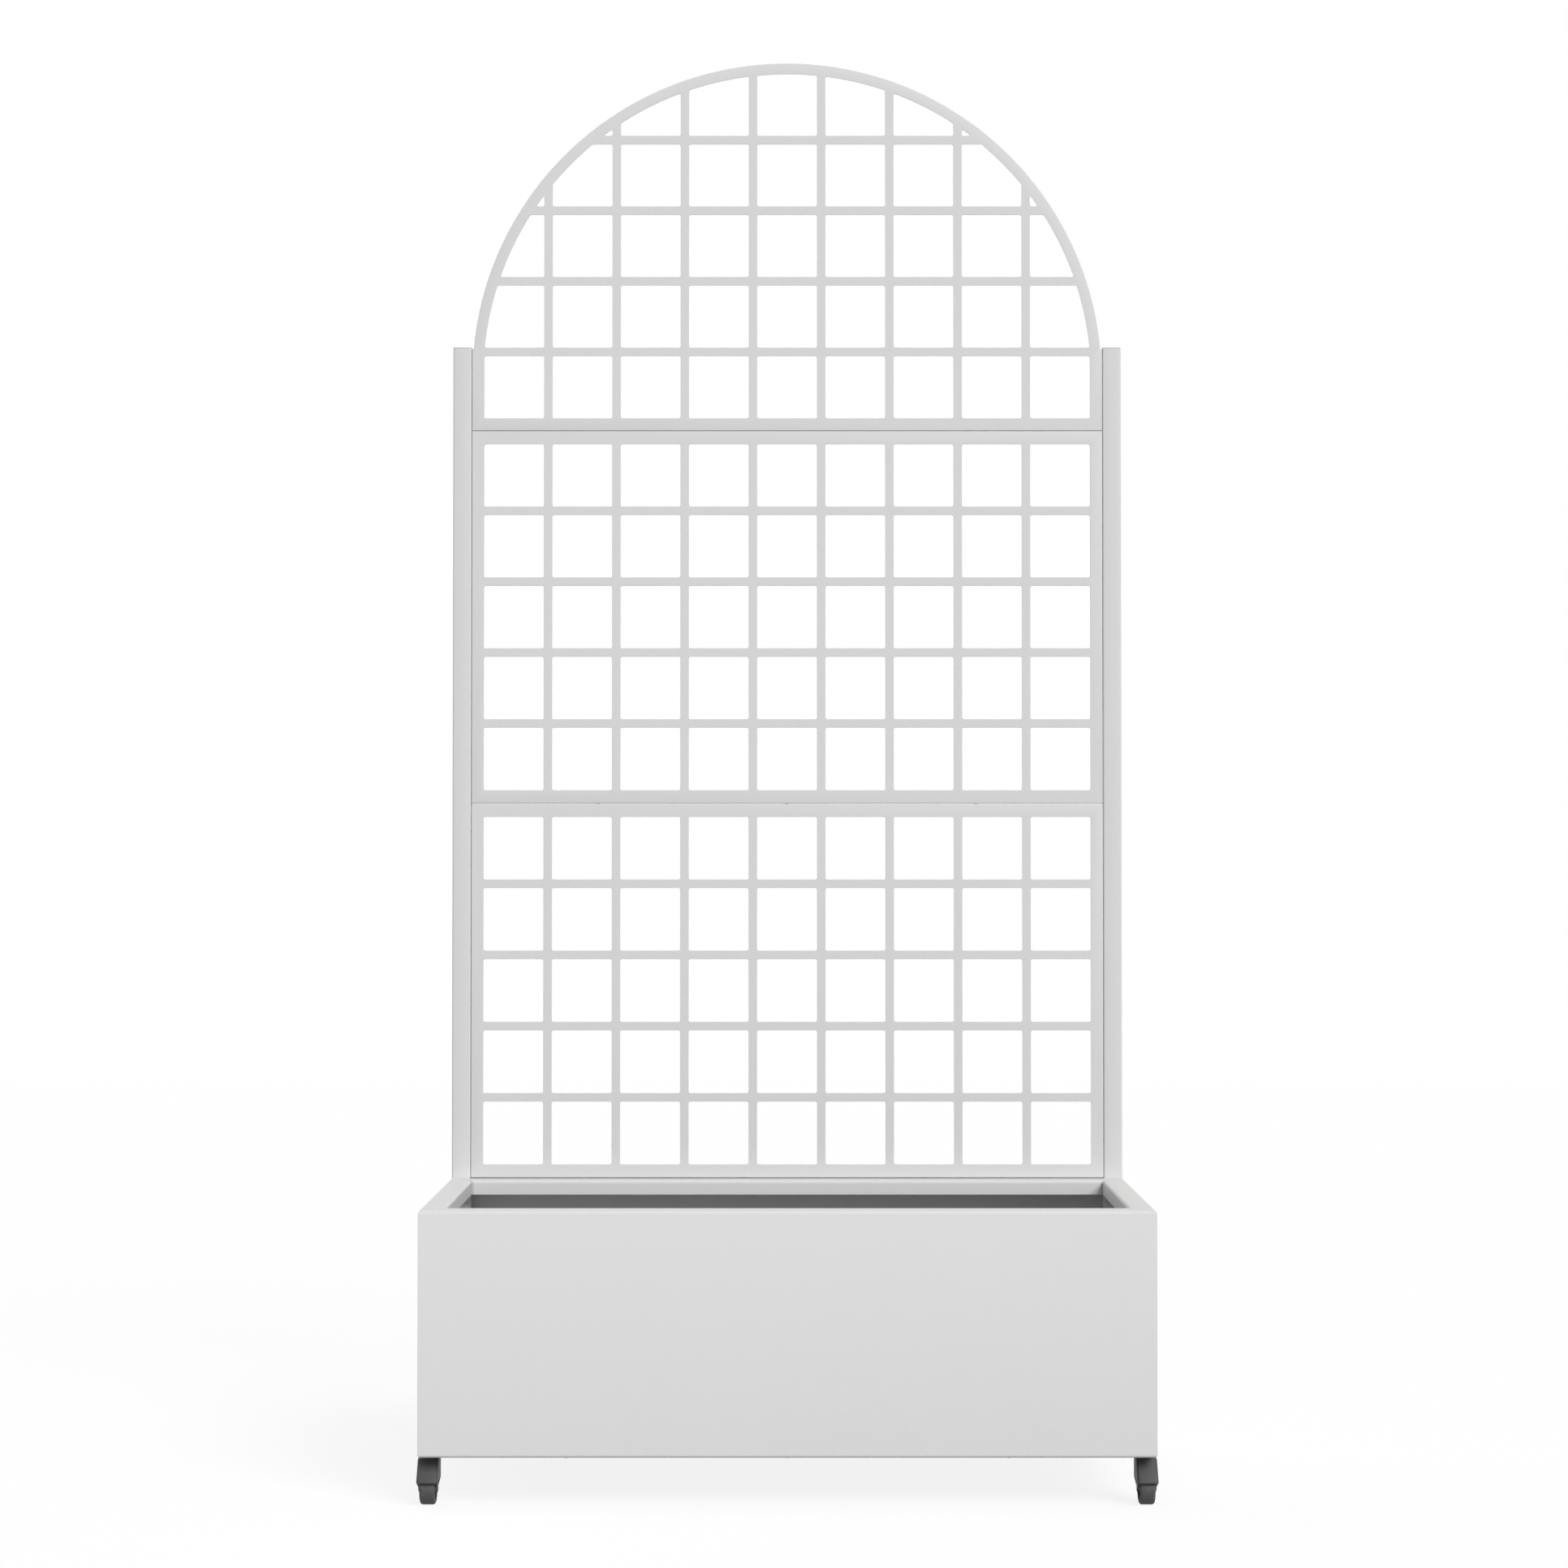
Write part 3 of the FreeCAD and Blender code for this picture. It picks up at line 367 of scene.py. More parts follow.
@dataclass(frozen=True)
class TreadRubber:
    """Dark rubber with a dusty, lightly worn running surface."""

    name: str = "dark_tread_rubber"
    colour: Colour = (0.070, 0.070, 0.071)
    dust: Colour = (0.125, 0.123, 0.120)
    scuff_scale: float = 160.0
    grain_scale: float = 1500.0
    roughness: float = 0.62

    def make(self) -> bpy.types.Material:
        """Build the finish."""
        graph = Graph(self.name)
        scuff = graph.noise(self.scuff_scale, 5.0, 0.65)
        tint = graph.mix(scuff.step(0.45, 0.75) * 0.6, self.colour, self.dust)
        relief = graph.bump(graph.noise(self.grain_scale, 3.0, 0.6), 0.3, 0.00008)
        gloss = self.roughness + 0.16 * scuff
        return graph.surface({"Base Color": tint, "Roughness": gloss, "Normal": relief})


class Piece:
    """A mesh in the making that ends up as one dressed object of the scene."""

    def __init__(self, name: str) -> None:
        """Start with an empty mesh."""
        self.name = name
        self.mesh = bmesh.new()

    def sweep(self, rings: Sequence[Sequence[Vector]], closed_rings: bool = True, looped: bool = False,
              capped: bool = True) -> None:
        """Skin a run of rings with equal numbers of points.

        Args:
            rings: Rings of points, in order.
            closed_rings: Whether each ring closes on itself.
            looped: Whether the last ring joins the first.
            capped: Whether the first and last rings are filled.
        """
        rows = [[self.mesh.verts.new(point) for point in ring] for ring in rings]
        count = len(rows[0])
        spans = range(len(rows) if looped else len(rows) - 1)
        for index in spans:
            first, second = rows[index], rows[(index + 1) % len(rows)]
            for place in range(count if closed_rings else count - 1):
                after = (place + 1) % count
                self.face((first[place], first[after], second[after], second[place]))
        if capped and not looped:
            self.face(tuple(reversed(rows[0])))
            self.face(tuple(rows[-1]))

    def face(self, corners: Sequence[bmesh.types.BMVert]) -> None:
        """Add a face, leaving out corners that lie on each other."""
        kept: list[bmesh.types.BMVert] = []
        for corner in corners:
            if not kept or (corner.co - kept[-1].co).length > WELD:
                kept.append(corner)
        if len(kept) > 1 and (kept[0].co - kept[-1].co).length <= WELD:
            kept.pop()
        if len(kept) >= 3:
            self.mesh.faces.new(kept)

    def lathe(self, outline: Sequence[Point2], place: Matrix, steps: int = 48) -> None:
        """Turn a closed outline of radius and height pairs about an axis.

        Args:
            outline: Radius and height of each corner, in order round the section.
            place: Matrix that puts the axis, z of the outline, where it belongs.
            steps: Faces round the axis.
        """
        rings = []
        for index in range(steps):
            angle = math.tau * index / steps
            turn = Vector((math.cos(angle), math.sin(angle), 0.0))
            rings.append([place @ (turn * radius + Vector((0.0, 0.0, height))) for radius, height in outline])
        self.sweep(rings, looped=True, capped=False)

    def slab(self, low: Sequence[float], high: Sequence[float]) -> None:
        """Plain box between two corners.

        Args:
            low: Lowest corner.
            high: Highest corner.
        """
        x0, y0, z0 = low
        x1, y1, z1 = high
        rings = []
        for z in (z0, z1):
            rings.append([Vector((x0, y0, z)), Vector((x1, y0, z)), Vector((x1, y1, z)), Vector((x0, y1, z))])
        self.sweep(rings)

    def build(self) -> bpy.types.Object:
        """Weld the mesh, turn its faces outwards and link it as an object.

        Returns:
            The new object, at the origin.
        """
        bmesh.ops.remove_doubles(self.mesh, verts=self.mesh.verts, dist=WELD)
        bmesh.ops.recalc_face_normals(self.mesh, faces=self.mesh.faces)
        data = bpy.data.meshes.new(self.name)
        self.mesh.to_mesh(data)
        self.mesh.free()
        made = bpy.data.objects.new(self.name, data)
        bpy.context.scene.collection.objects.link(made)
        return made


class Workshop:
    """Steps that finish a raw object."""

    @staticmethod
    def settle(item: bpy.types.Object) -> bpy.types.Object:
        """Turn an object's modifiers into plain mesh.

        Args:
            item: The object to settle.

        Returns:
            The same object, with no modifiers.
        """
        graph = bpy.context.evaluated_depsgraph_get()
        done = bpy.data.meshes.new_from_object(item.evaluated_get(graph), depsgraph=graph)
        item.modifiers.clear()
        item.data = done
        return item

    @classmethod
    def carve(cls, item: bpy.types.Object, tools: Iterable[bpy.types.Object],
              way: str = "DIFFERENCE") -> bpy.types.Object:
        """Cut tools from an object, or add them to it.

        Args:
            item: The object to work on.
            tools: Objects that are used up.
            way: Name of the Boolean operation.

        Returns:
            The worked object.
        """
        used = list(tools)
        for tool in used:
            change = item.modifiers.new("carve", "BOOLEAN")
            change.operation = way
            change.solver = "EXACT"
            change.object = tool
        cls.settle(item)
        for tool in used:
            bpy.data.objects.remove(tool)
        return item

    @classmethod
    def soften(cls, item: bpy.types.Object, width: float, segments: int = 2,
               angle: float = 40.0) -> bpy.types.Object:
        """Round every sharp edge of an object.

        Args:
            item: The object to work on.
            width: Width of the rounding.
            segments: Faces across the rounding.
            angle: Least angle of an edge that is rounded, in degrees.

        Returns:
            The worked object.
        """
        change = item.modifiers.new("soften", "BEVEL")
        change.width = width
        change.segments = segments
        change.limit_method = "ANGLE"
        change.angle_limit = math.radians(angle)
        return cls.settle(item)

    @staticmethod
    def dress(item: bpy.types.Object, finish: bpy.types.Material, slot: Slot, body: str,
              nodes: Sequence[str]) -> bpy.types.Object:
        """Give a piece its finish and tie it to the frame.

        Args:
            item: The piece.
            finish: Its material.
            slot: The record's slot of that finish; not used.
            body: The body that it moves with.
            nodes: The solids that it stands for.

        Returns:
            The dressed piece.
        """
        item.data.materials.clear()
        item.data.materials.append(finish)
        item.data.shade_smooth()
        item.data.set_sharp_from_angle(angle=SHARP_ANGLE)
        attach(item, body)
        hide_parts(*nodes)
        LOG.info("%s: %d faces on %s", item.name, len(item.data.polygons), body)
        return item


class Recipe:
    """Geometry node tree with named inputs that makes what repeats."""

    def __init__(self, name: str) -> None:
        """Start a tree with geometry in and geometry out."""
        self.tree = bpy.data.node_groups.new(name, "GeometryNodeTree")
        face = self.tree.interface
        face.new_socket("Geometry", in_out="INPUT", socket_type="NodeSocketGeometry")
        face.new_socket("Geometry", in_out="OUTPUT", socket_type="NodeSocketGeometry")
        self.source = self.tree.nodes.new("NodeGroupInput")
        self.sink = self.tree.nodes.new("NodeGroupOutput")
        self.keys: dict[str, str] = {}

    def ask(self, name: str, kind: str) -> bpy.types.NodeSocket:
        """Add a named input.

        Args:
            name: Name of the input.
            kind: Blender's name of its socket type.

        Returns:
            The socket that carries it into the tree.
        """
        added = self.tree.interface.new_socket(name, in_out="INPUT", socket_type=kind)
        self.keys[name] = added.identifier
        return next(socket for socket in self.source.outputs if socket.identifier == added.identifier)

    def node(self, kind: str, settings: dict[str, Any], sockets: dict[Any, Any],
             out: Any = 0) -> bpy.types.NodeSocket:
        """Add any node, set it up and feed its sockets.

        Args:
            kind: Blender's name of the node's type.
            settings: Attributes of the node.
            sockets: Values or sockets by input name or number.
            out: Name or number of the output that is wanted.

        Returns:
            The wanted output.
        """
        added = self.tree.nodes.new(kind)
        for key, setting in settings.items():
            setattr(added, key, setting)
        for key, given in sockets.items():
            if isinstance(given, bpy.types.NodeSocket):
                self.tree.links.new(given, added.inputs[key])
            else:
                added.inputs[key].default_value = given
        return added.outputs[out]

    def close(self, shape: bpy.types.NodeSocket) -> None:
        """End the tree with real geometry and its material.

        Args:
            shape: The geometry to hand over.
        """
        finish = self.ask("Finish", "NodeSocketMaterial")
        real = self.node("GeometryNodeRealizeInstances", {}, {0: shape})
        done = self.node("GeometryNodeSetMaterial", {}, {"Geometry": real, "Material": finish})
        self.tree.links.new(done, self.sink.inputs[0])

    def run(self, item: bpy.types.Object, values: dict[str, Any]) -> bpy.types.Object:
        """Run the tree on an object and keep the plain mesh.

        Args:
            item: The object that carries the points.
            values: Value of each named input.

        Returns:
            The same object with the result as its mesh.
        """
        change = item.modifiers.new("recipe", "NODES")
        change.node_group = self.tree
        for name, value in values.items():
            change[self.keys[name]] = value
        return Workshop.settle(item)


class Repeater(Recipe):
    """Sets a copy of a template on each point, turned as the point says."""

    TURN = "turn"

    def __init__(self) -> None:
        """Build the tree."""
        super().__init__("copies_on_points")
        template = self.ask("Template", "NodeSocketObject")
        space = {"transform_space": "ORIGINAL"}
        shape = self.node("GeometryNodeObjectInfo", space, {"Object": template}, "Geometry")
        kind = {"data_type": "FLOAT_VECTOR"}
        turn = self.node("GeometryNodeInputNamedAttribute", kind, {"Name": self.TURN})
        angles = self.node("FunctionNodeEulerToRotation", {}, {0: turn})
        points = {"Points": self.source.outputs[0], "Instance": shape, "Rotation": angles}
        self.close(self.node("GeometryNodeInstanceOnPoints", {}, points))

    def lay(self, name: str, template: bpy.types.Object, spots: Sequence[tuple[Vector, Vector]],
            finish: bpy.types.Material) -> bpy.types.Object:
        """Set out copies and use up the template.

        Args:
            name: Name of the new piece.
            template: Object to copy, with its axis along z.
            spots: Place of each copy and the angles that turn it.
            finish: Material of the copies.

        Returns:
            The new piece.
        """
        data = bpy.data.meshes.new(name)
        data.from_pydata([tuple(place) for place, _ in spots], [], [])
        turns = data.attributes.new(self.TURN, "FLOAT_VECTOR", "POINT")
        for index, (_, angles) in enumerate(spots):
            turns.data[index].vector = tuple(angles)
        made = bpy.data.objects.new(name, data)
        bpy.context.scene.collection.objects.link(made)
        self.run(made, {"Template": template, "Finish": finish})
        bpy.data.objects.remove(template)
        return made


class PiercedSheet(Recipe):
    """Flat sheet with a grid of round holes."""

    def __init__(self) -> None:
        """Build the tree."""
        super().__init__("pierced_sheet")
        size = self.ask("Size", "NodeSocketVector")
        centre = self.ask("Centre", "NodeSocketVector")
        radius = self.ask("Hole Radius", "NodeSocketFloat")
        span_x = self.ask("Span X", "NodeSocketFloat")
        span_y = self.ask("Span Y", "NodeSocketFloat")
        columns = self.ask("Columns", "NodeSocketInt")
        rows = self.ask("Rows", "NodeSocketInt")
        sheet = self.node("GeometryNodeMeshCube", {}, {"Size": size})
        grid = {"Size X": span_x, "Size Y": span_y, "Vertices X": columns, "Vertices Y": rows}
        spots = self.node("GeometryNodeMeshGrid", {}, grid)
        drill = self.node("GeometryNodeMeshCylinder", {}, {"Vertices": 40, "Radius": radius, "Depth": 0.02})
        drills = self.node("GeometryNodeInstanceOnPoints", {}, {"Points": spots, "Instance": drill})
        real = self.node("GeometryNodeRealizeInstances", {}, {0: drills})
        pierced = self.node("GeometryNodeMeshBoolean", {"operation": "DIFFERENCE", "solver": "EXACT"},
                            {"Mesh 1": sheet, "Mesh 2": real})
        moved = self.node("GeometryNodeTransform", {}, {"Geometry": pierced, "Translation": centre})
        self.close(moved)


def facing(way: Sequence[float]) -> Vector:
    """Angles that turn a template's z axis to a direction.

    Args:
        way: The direction.

    Returns:
        Euler angles.
    """
    return Vector(Vector(way).to_track_quat("Z", "Y").to_euler())


def arc(centre: Point2, radius: float, start: float, end: float, steps: int) -> list[Point2]:
    """Points of an arc, both ends included.

    Args:
        centre: Centre of the arc.
        radius: Its radius.
        start: First angle in degrees.
        end: Last angle in degrees.
        steps: Number of spans.

    Returns:
        The points in order.
    """
    angles = [math.radians(start + (end - start) * index / steps) for index in range(steps + 1)]
    return [(centre[0] + radius * math.cos(angle), centre[1] + radius * math.sin(angle)) for angle in angles]


def rounded_outline(low: Point2, high: Point2, radius: float, steps: int = 5) -> list[Point2]:
    """Rectangle with round corners, counter-clockwise.

    Args:
        low: Lowest corner.
        high: Highest corner.
        radius: Corner radius.
        steps: Spans in each corner.

    Returns:
        The outline.
    """
    (x0, y0), (x1, y1) = low, high
    corners = ((x1 - radius, y0 + radius, -90.0), (x1 - radius, y1 - radius, 0.0),
               (x0 + radius, y1 - radius, 90.0), (x0 + radius, y0 + radius, 180.0))
    points: list[Point2] = []
    for x, y, start in corners:
        points.extend(arc((x, y), radius, start, start + 90.0, steps))
    return points


@dataclass
class Trough:
    """The box: four folded walls with mitred rims, and its floor sheet."""

    half_width: float = 0.435
    front: float = -0.2071
    back: float = 0.2049
    under: float = 0.0595
    height: float = 0.2905
    sheet: float = 0.0012
    bend: float = 0.004
    rim: float = 0.030
    back_rim: float = 0.055
    lip: float = 0.018
    turn_in: float = 0.025
    tab: float = 0.020
    mitre_gap: float = 0.0002
    seat_gap: float = 0.0005
    post: float = 0.024
    floor_sheet: float = 0.0015
    drain_radius: float = 0.005
    drains: tuple[int, int] = (5, 2)
    drain_pitch: Point2 = (0.140, 0.150)
    bend_steps: int = 6
    # Painted shade: darker tints of the coat on the rim and lips, on the side lips and inside the box.
    film: Colour = (0.66, 0.658, 0.654)
    overspray: Colour = (0.53, 0.53, 0.53)
    primer: Colour = (0.58, 0.58, 0.58)

    @property
    def rim_height(self) -> float:
        """Height of the rim above the ground."""
        return self.under + self.height

    @property
    def depth(self) -> float:
        """Outer depth of the box."""
        return self.back - self.front

    @property
    def floor_top(self) -> float:
        """Height of the floor sheet's top face."""
        return self.under + self.sheet + self.floor_sheet

    @property
    def post_out(self) -> float:
        """Outer face of a post, from the middle."""
        return self.half_width - self.sheet - self.seat_gap

    @property
    def post_in(self) -> float:
        """Inner face of a post, from the middle."""
        return self.post_out - self.post

    @property
    def post_back(self) -> float:
        """Back face of the posts."""
        return self.back - 2 * self.sheet

    @property
    def post_front(self) -> float:
        """Front face of the posts."""
        return self.post_back - self.post

    def zones(self) -> tuple[Zone, ...]:
        """Painted shade of the box: a darker tint on its rim, bends and lips, a darker one still on the side
        lips, and a darker inside.

        Returns:
            The zones, each laid over those before it.
        """
        top, bend, wide = self.rim_height, self.bend, self.half_width
        mouth, soft = wide - self.rim, self.bend / 2
        front, back = self.front + self.rim, self.back - self.back_rim
        hem = top - self.lip - self.sheet
        # Painted shade: the rim's top and its outer bends are darkened.
        start = (-wide - bend, self.front - bend, top - 0.8 * bend)
        rim = Zone(self.film, start, (wide + bend, self.back + bend, top + bend), soft)
        # Painted shade: the lips round the mouth are darkened.
        start = (-mouth - bend, front - bend, hem - soft)
        lips = Zone(self.film, start, (mouth + bend, back + bend, top + bend), soft)
        # Painted shade: the side lips get a darker tint still.
        sides = []
        for side in Side:
            near, far = sorted((side.value * (mouth - bend), side.value * (mouth + bend)))
            start, end = (near, front - bend, hem - soft), (far, back + bend, top - bend / 4)
            sides.append(Zone(self.overspray, start, end, soft))
        # Painted shade: the inside of the box below the lips is darkened.
        low = (-wide + self.sheet / 2, self.front + self.sheet / 2, self.floor_top - self.sheet / 3)
        high = (-low[0], self.back - self.sheet / 2, hem)
        return (rim, lips, *sides, Zone(self.primer, low, high))

    def section(self, rim: float) -> list[Point2]:
        """Cross-section of a wall: inwards and upwards from the outer lower edge.

        Args:
            rim: Width of the rim.

        Returns:
            The closed outline.
        """
        high, bend, thin, steps = self.height, self.bend, self.sheet, self.bend_steps
        tight = bend - thin
        outer = [(self.turn_in, 0.0)]
        outer += arc((bend, bend), bend, 270.0, 180.0, steps)
        outer += arc((bend, high - bend), bend, 180.0, 90.0, steps)
        outer += arc((rim - bend, high - bend), bend, 90.0, 0.0, steps)
        outer += [(rim, high - self.lip)]
        inner = [(rim - thin, high - self.lip)]
        inner += arc((rim - bend, high - bend), tight, 0.0, 90.0, steps)
        inner += arc((bend, high - bend), tight, 90.0, 180.0, steps)
        inner += arc((bend, bend), tight, 180.0, 270.0, steps)
        inner += [(self.turn_in, thin)]
        return outer + inner

    def wall(self, name: str, length: float, rim: float, slopes: Point2, place: Matrix) -> bpy.types.Object:
        """One folded wall with mitred ends.

        Args:
            name: Name of the piece.
            length: Outer length.
            rim: Width of the rim.
            slopes: How far each end runs in for each step inwards.
            place: Matrix from the wall's own frame to the object's.

        Returns:
            The raw wall.
        """
        piece = Piece(name)
        section = self.section(rim)
        first = [place @ Vector((self.mitre_gap + slopes[0] * y, y, z)) for y, z in section]
        last = [place @ Vector((length - self.mitre_gap - slopes[1] * y, y, z)) for y, z in section]
        piece.sweep([first, last])
        return piece.build()

    def notch(self, side: Side) -> bpy.types.Object:
        """Tool that clears a post's way through the rim.

        Args:
            side: The post's side.

        Returns:
            The tool.
        """
        tool = Piece("notch_tool")
        near, far = self.post_in - self.seat_gap, self.half_width - self.sheet
        low_x, high_x = sorted((side.value * near, side.value * far))
        low = (low_x, self.post_front - self.seat_gap, self.rim_height - self.bend)
        high = (high_x, self.post_back + self.sheet / 2, self.rim_height + self.bend)
        tool.slab(low, high)
        return tool.build()

    def tabs(self, side: Side) -> list[bpy.types.Object]:
        """Upright tabs at the two ends of a side wall.

        Args:
            side: The wall's side.

        Returns:
            The front and the back tab.
        """
        made = []
        reaches = (self.half_width - self.tab, self.half_width - self.sheet / 4)
        low_x, high_x = sorted(side.value * reach for reach in reaches)
        low_z, high_z = self.under + self.bend, self.rim_height - self.bend
        for start in (self.front + self.sheet, self.back - 2 * self.sheet):
            piece = Piece("corner_tab")
            piece.slab((low_x, start, low_z), (high_x, start + self.sheet, high_z))
            made.append(piece.build())
        return made

    def floor(self, coat: bpy.types.Material) -> None:
        """Make and dress the drained floor sheet.

        Args:
            coat: Its finish.
        """
        inset = self.bend + self.seat_gap
        item = Piece("drained_floor").build()
        PiercedSheet().run(item, {
            "Size": (2 * (self.half_width - inset), self.depth - 2 * inset, self.floor_sheet),
            "Centre": (0.0, (self.front + self.back) / 2, self.floor_top - self.floor_sheet / 2),
            "Hole Radius": self.drain_radius,
            "Span X": (self.drains[0] - 1) * self.drain_pitch[0],
            "Span Y": (self.drains[1] - 1) * self.drain_pitch[1],
            "Columns": self.drains[0],
            "Rows": self.drains[1],
            "Finish": coat,
        })
        Workshop.dress(item, coat, Slot.COAT, "planter", ["base_panel"])

    def build(self, coat: bpy.types.Material) -> None:
        """Make and dress the walls and the floor.

        Args:
            coat: Finish of the box.
        """
        wide = 2 * self.half_width
        lean = self.rim / self.back_rim
        spot = Matrix.Translation
        straight = spot((-self.half_width, self.front, self.under))
        front = self.wall("front_wall", wide, self.rim, (1.0, 1.0), straight)
        Workshop.dress(front, coat, Slot.COAT, "planter", ["front_panel"])
        turned = spot((self.half_width, self.back, self.under)) @ Matrix.Rotation(math.pi, 4, "Z")
        back = self.wall("back_wall", wide, self.back_rim, (lean, lean), turned)
        Workshop.carve(back, [self.notch(side) for side in Side])
        Workshop.dress(back, coat, Slot.COAT, "planter", ["back_panel"])
        for side in Side:
            start = self.front if side is Side.RIGHT else self.back
            slopes = (1.0, 1.0 / lean) if side is Side.RIGHT else (1.0 / lean, 1.0)
            turned = spot((side.value * self.half_width, start, self.under))
            turned = turned @ Matrix.Rotation(side.value * math.pi / 2, 4, "Z")
            wall = self.wall(f"{side.word}_wall", self.depth, self.rim, slopes, turned)
            Workshop.carve(wall, self.tabs(side), "UNION")
            Workshop.carve(wall, [self.notch(side)])
            Workshop.dress(wall, coat, Slot.COAT, "planter", [f"{side.word}_panel"])
        self.floor(coat)


@dataclass
class Posts:
    """Square tubes that carry the trellis, with their push-in caps."""

    trough: Trough
    top: float
    wall: float = 0.0012
    corner: float = 0.002
    cap_plate: float = 0.002
    cap_plug: float = 0.014
    fit_gap: float = 0.00005

    def ring(self, side: Side, inset: float, radius: float, height: float) -> list[Vector]:
        """Outline of a post at a height.

        Args:
            side: The post's side.
            inset: Distance in from its outer faces.
            radius: Corner radius.
            height: Height above the ground.

        Returns:
            The outline's points.
        """
        low_x, high_x = sorted((side.value * self.trough.post_in, side.value * self.trough.post_out))
        low = (low_x + inset, self.trough.post_front + inset)
        high = (high_x - inset, self.trough.post_back - inset)
        return [Vector((x, y, height)) for x, y in rounded_outline(low, high, radius)]

    def build(self, coat: bpy.types.Material, cap: bpy.types.Material) -> None:
        """Make and dress the tubes and the caps.

        Args:
            coat: Finish of the tubes.
            cap: Finish of the caps.
        """
        bore = self.corner - self.wall
        for side in Side:
            low, high = self.trough.floor_top, self.top
            tube = Piece(f"{side.word}_tube")
            tube.sweep([
                self.ring(side, 0.0, self.corner, low),
                self.ring(side, 0.0, self.corner, high),
                self.ring(side, self.wall, bore, high),
                self.ring(side, self.wall, bore, low),
            ], looped=True)
            Workshop.dress(tube.build(), coat, Slot.COAT, "planter", [f"{side.word}_post"])
            lid = Piece(f"{side.word}_tube_cap")
            plug = self.wall + self.fit_gap
            ease = self.cap_plate / 4
            lid.sweep([
                self.ring(side, plug + ease, bore, high - self.cap_plug),
                self.ring(side, plug, bore, high - self.cap_plug + ease),
                self.ring(side, plug, bore, high),
                self.ring(side, 0.0, self.corner, high),
                self.ring(side, 0.0, self.corner, high + self.cap_plate - ease),
                self.ring(side, ease * 0.3, self.corner, high + self.cap_plate - ease * 0.3),
                self.ring(side, ease, self.corner, high + self.cap_plate),
            ])
            Workshop.dress(lid.build(), cap, Slot.CAP, "planter", [f"{side.word}_post_cap"])


class Level(int, Enum):
    """Trellis panels, from the rim upwards."""

    BOTTOM = 0
    MIDDLE = 1
    TOP = 2

    @property
    def word(self) -> str:
        """Name of the panel as the nodes use it."""
        return self.name.lower()


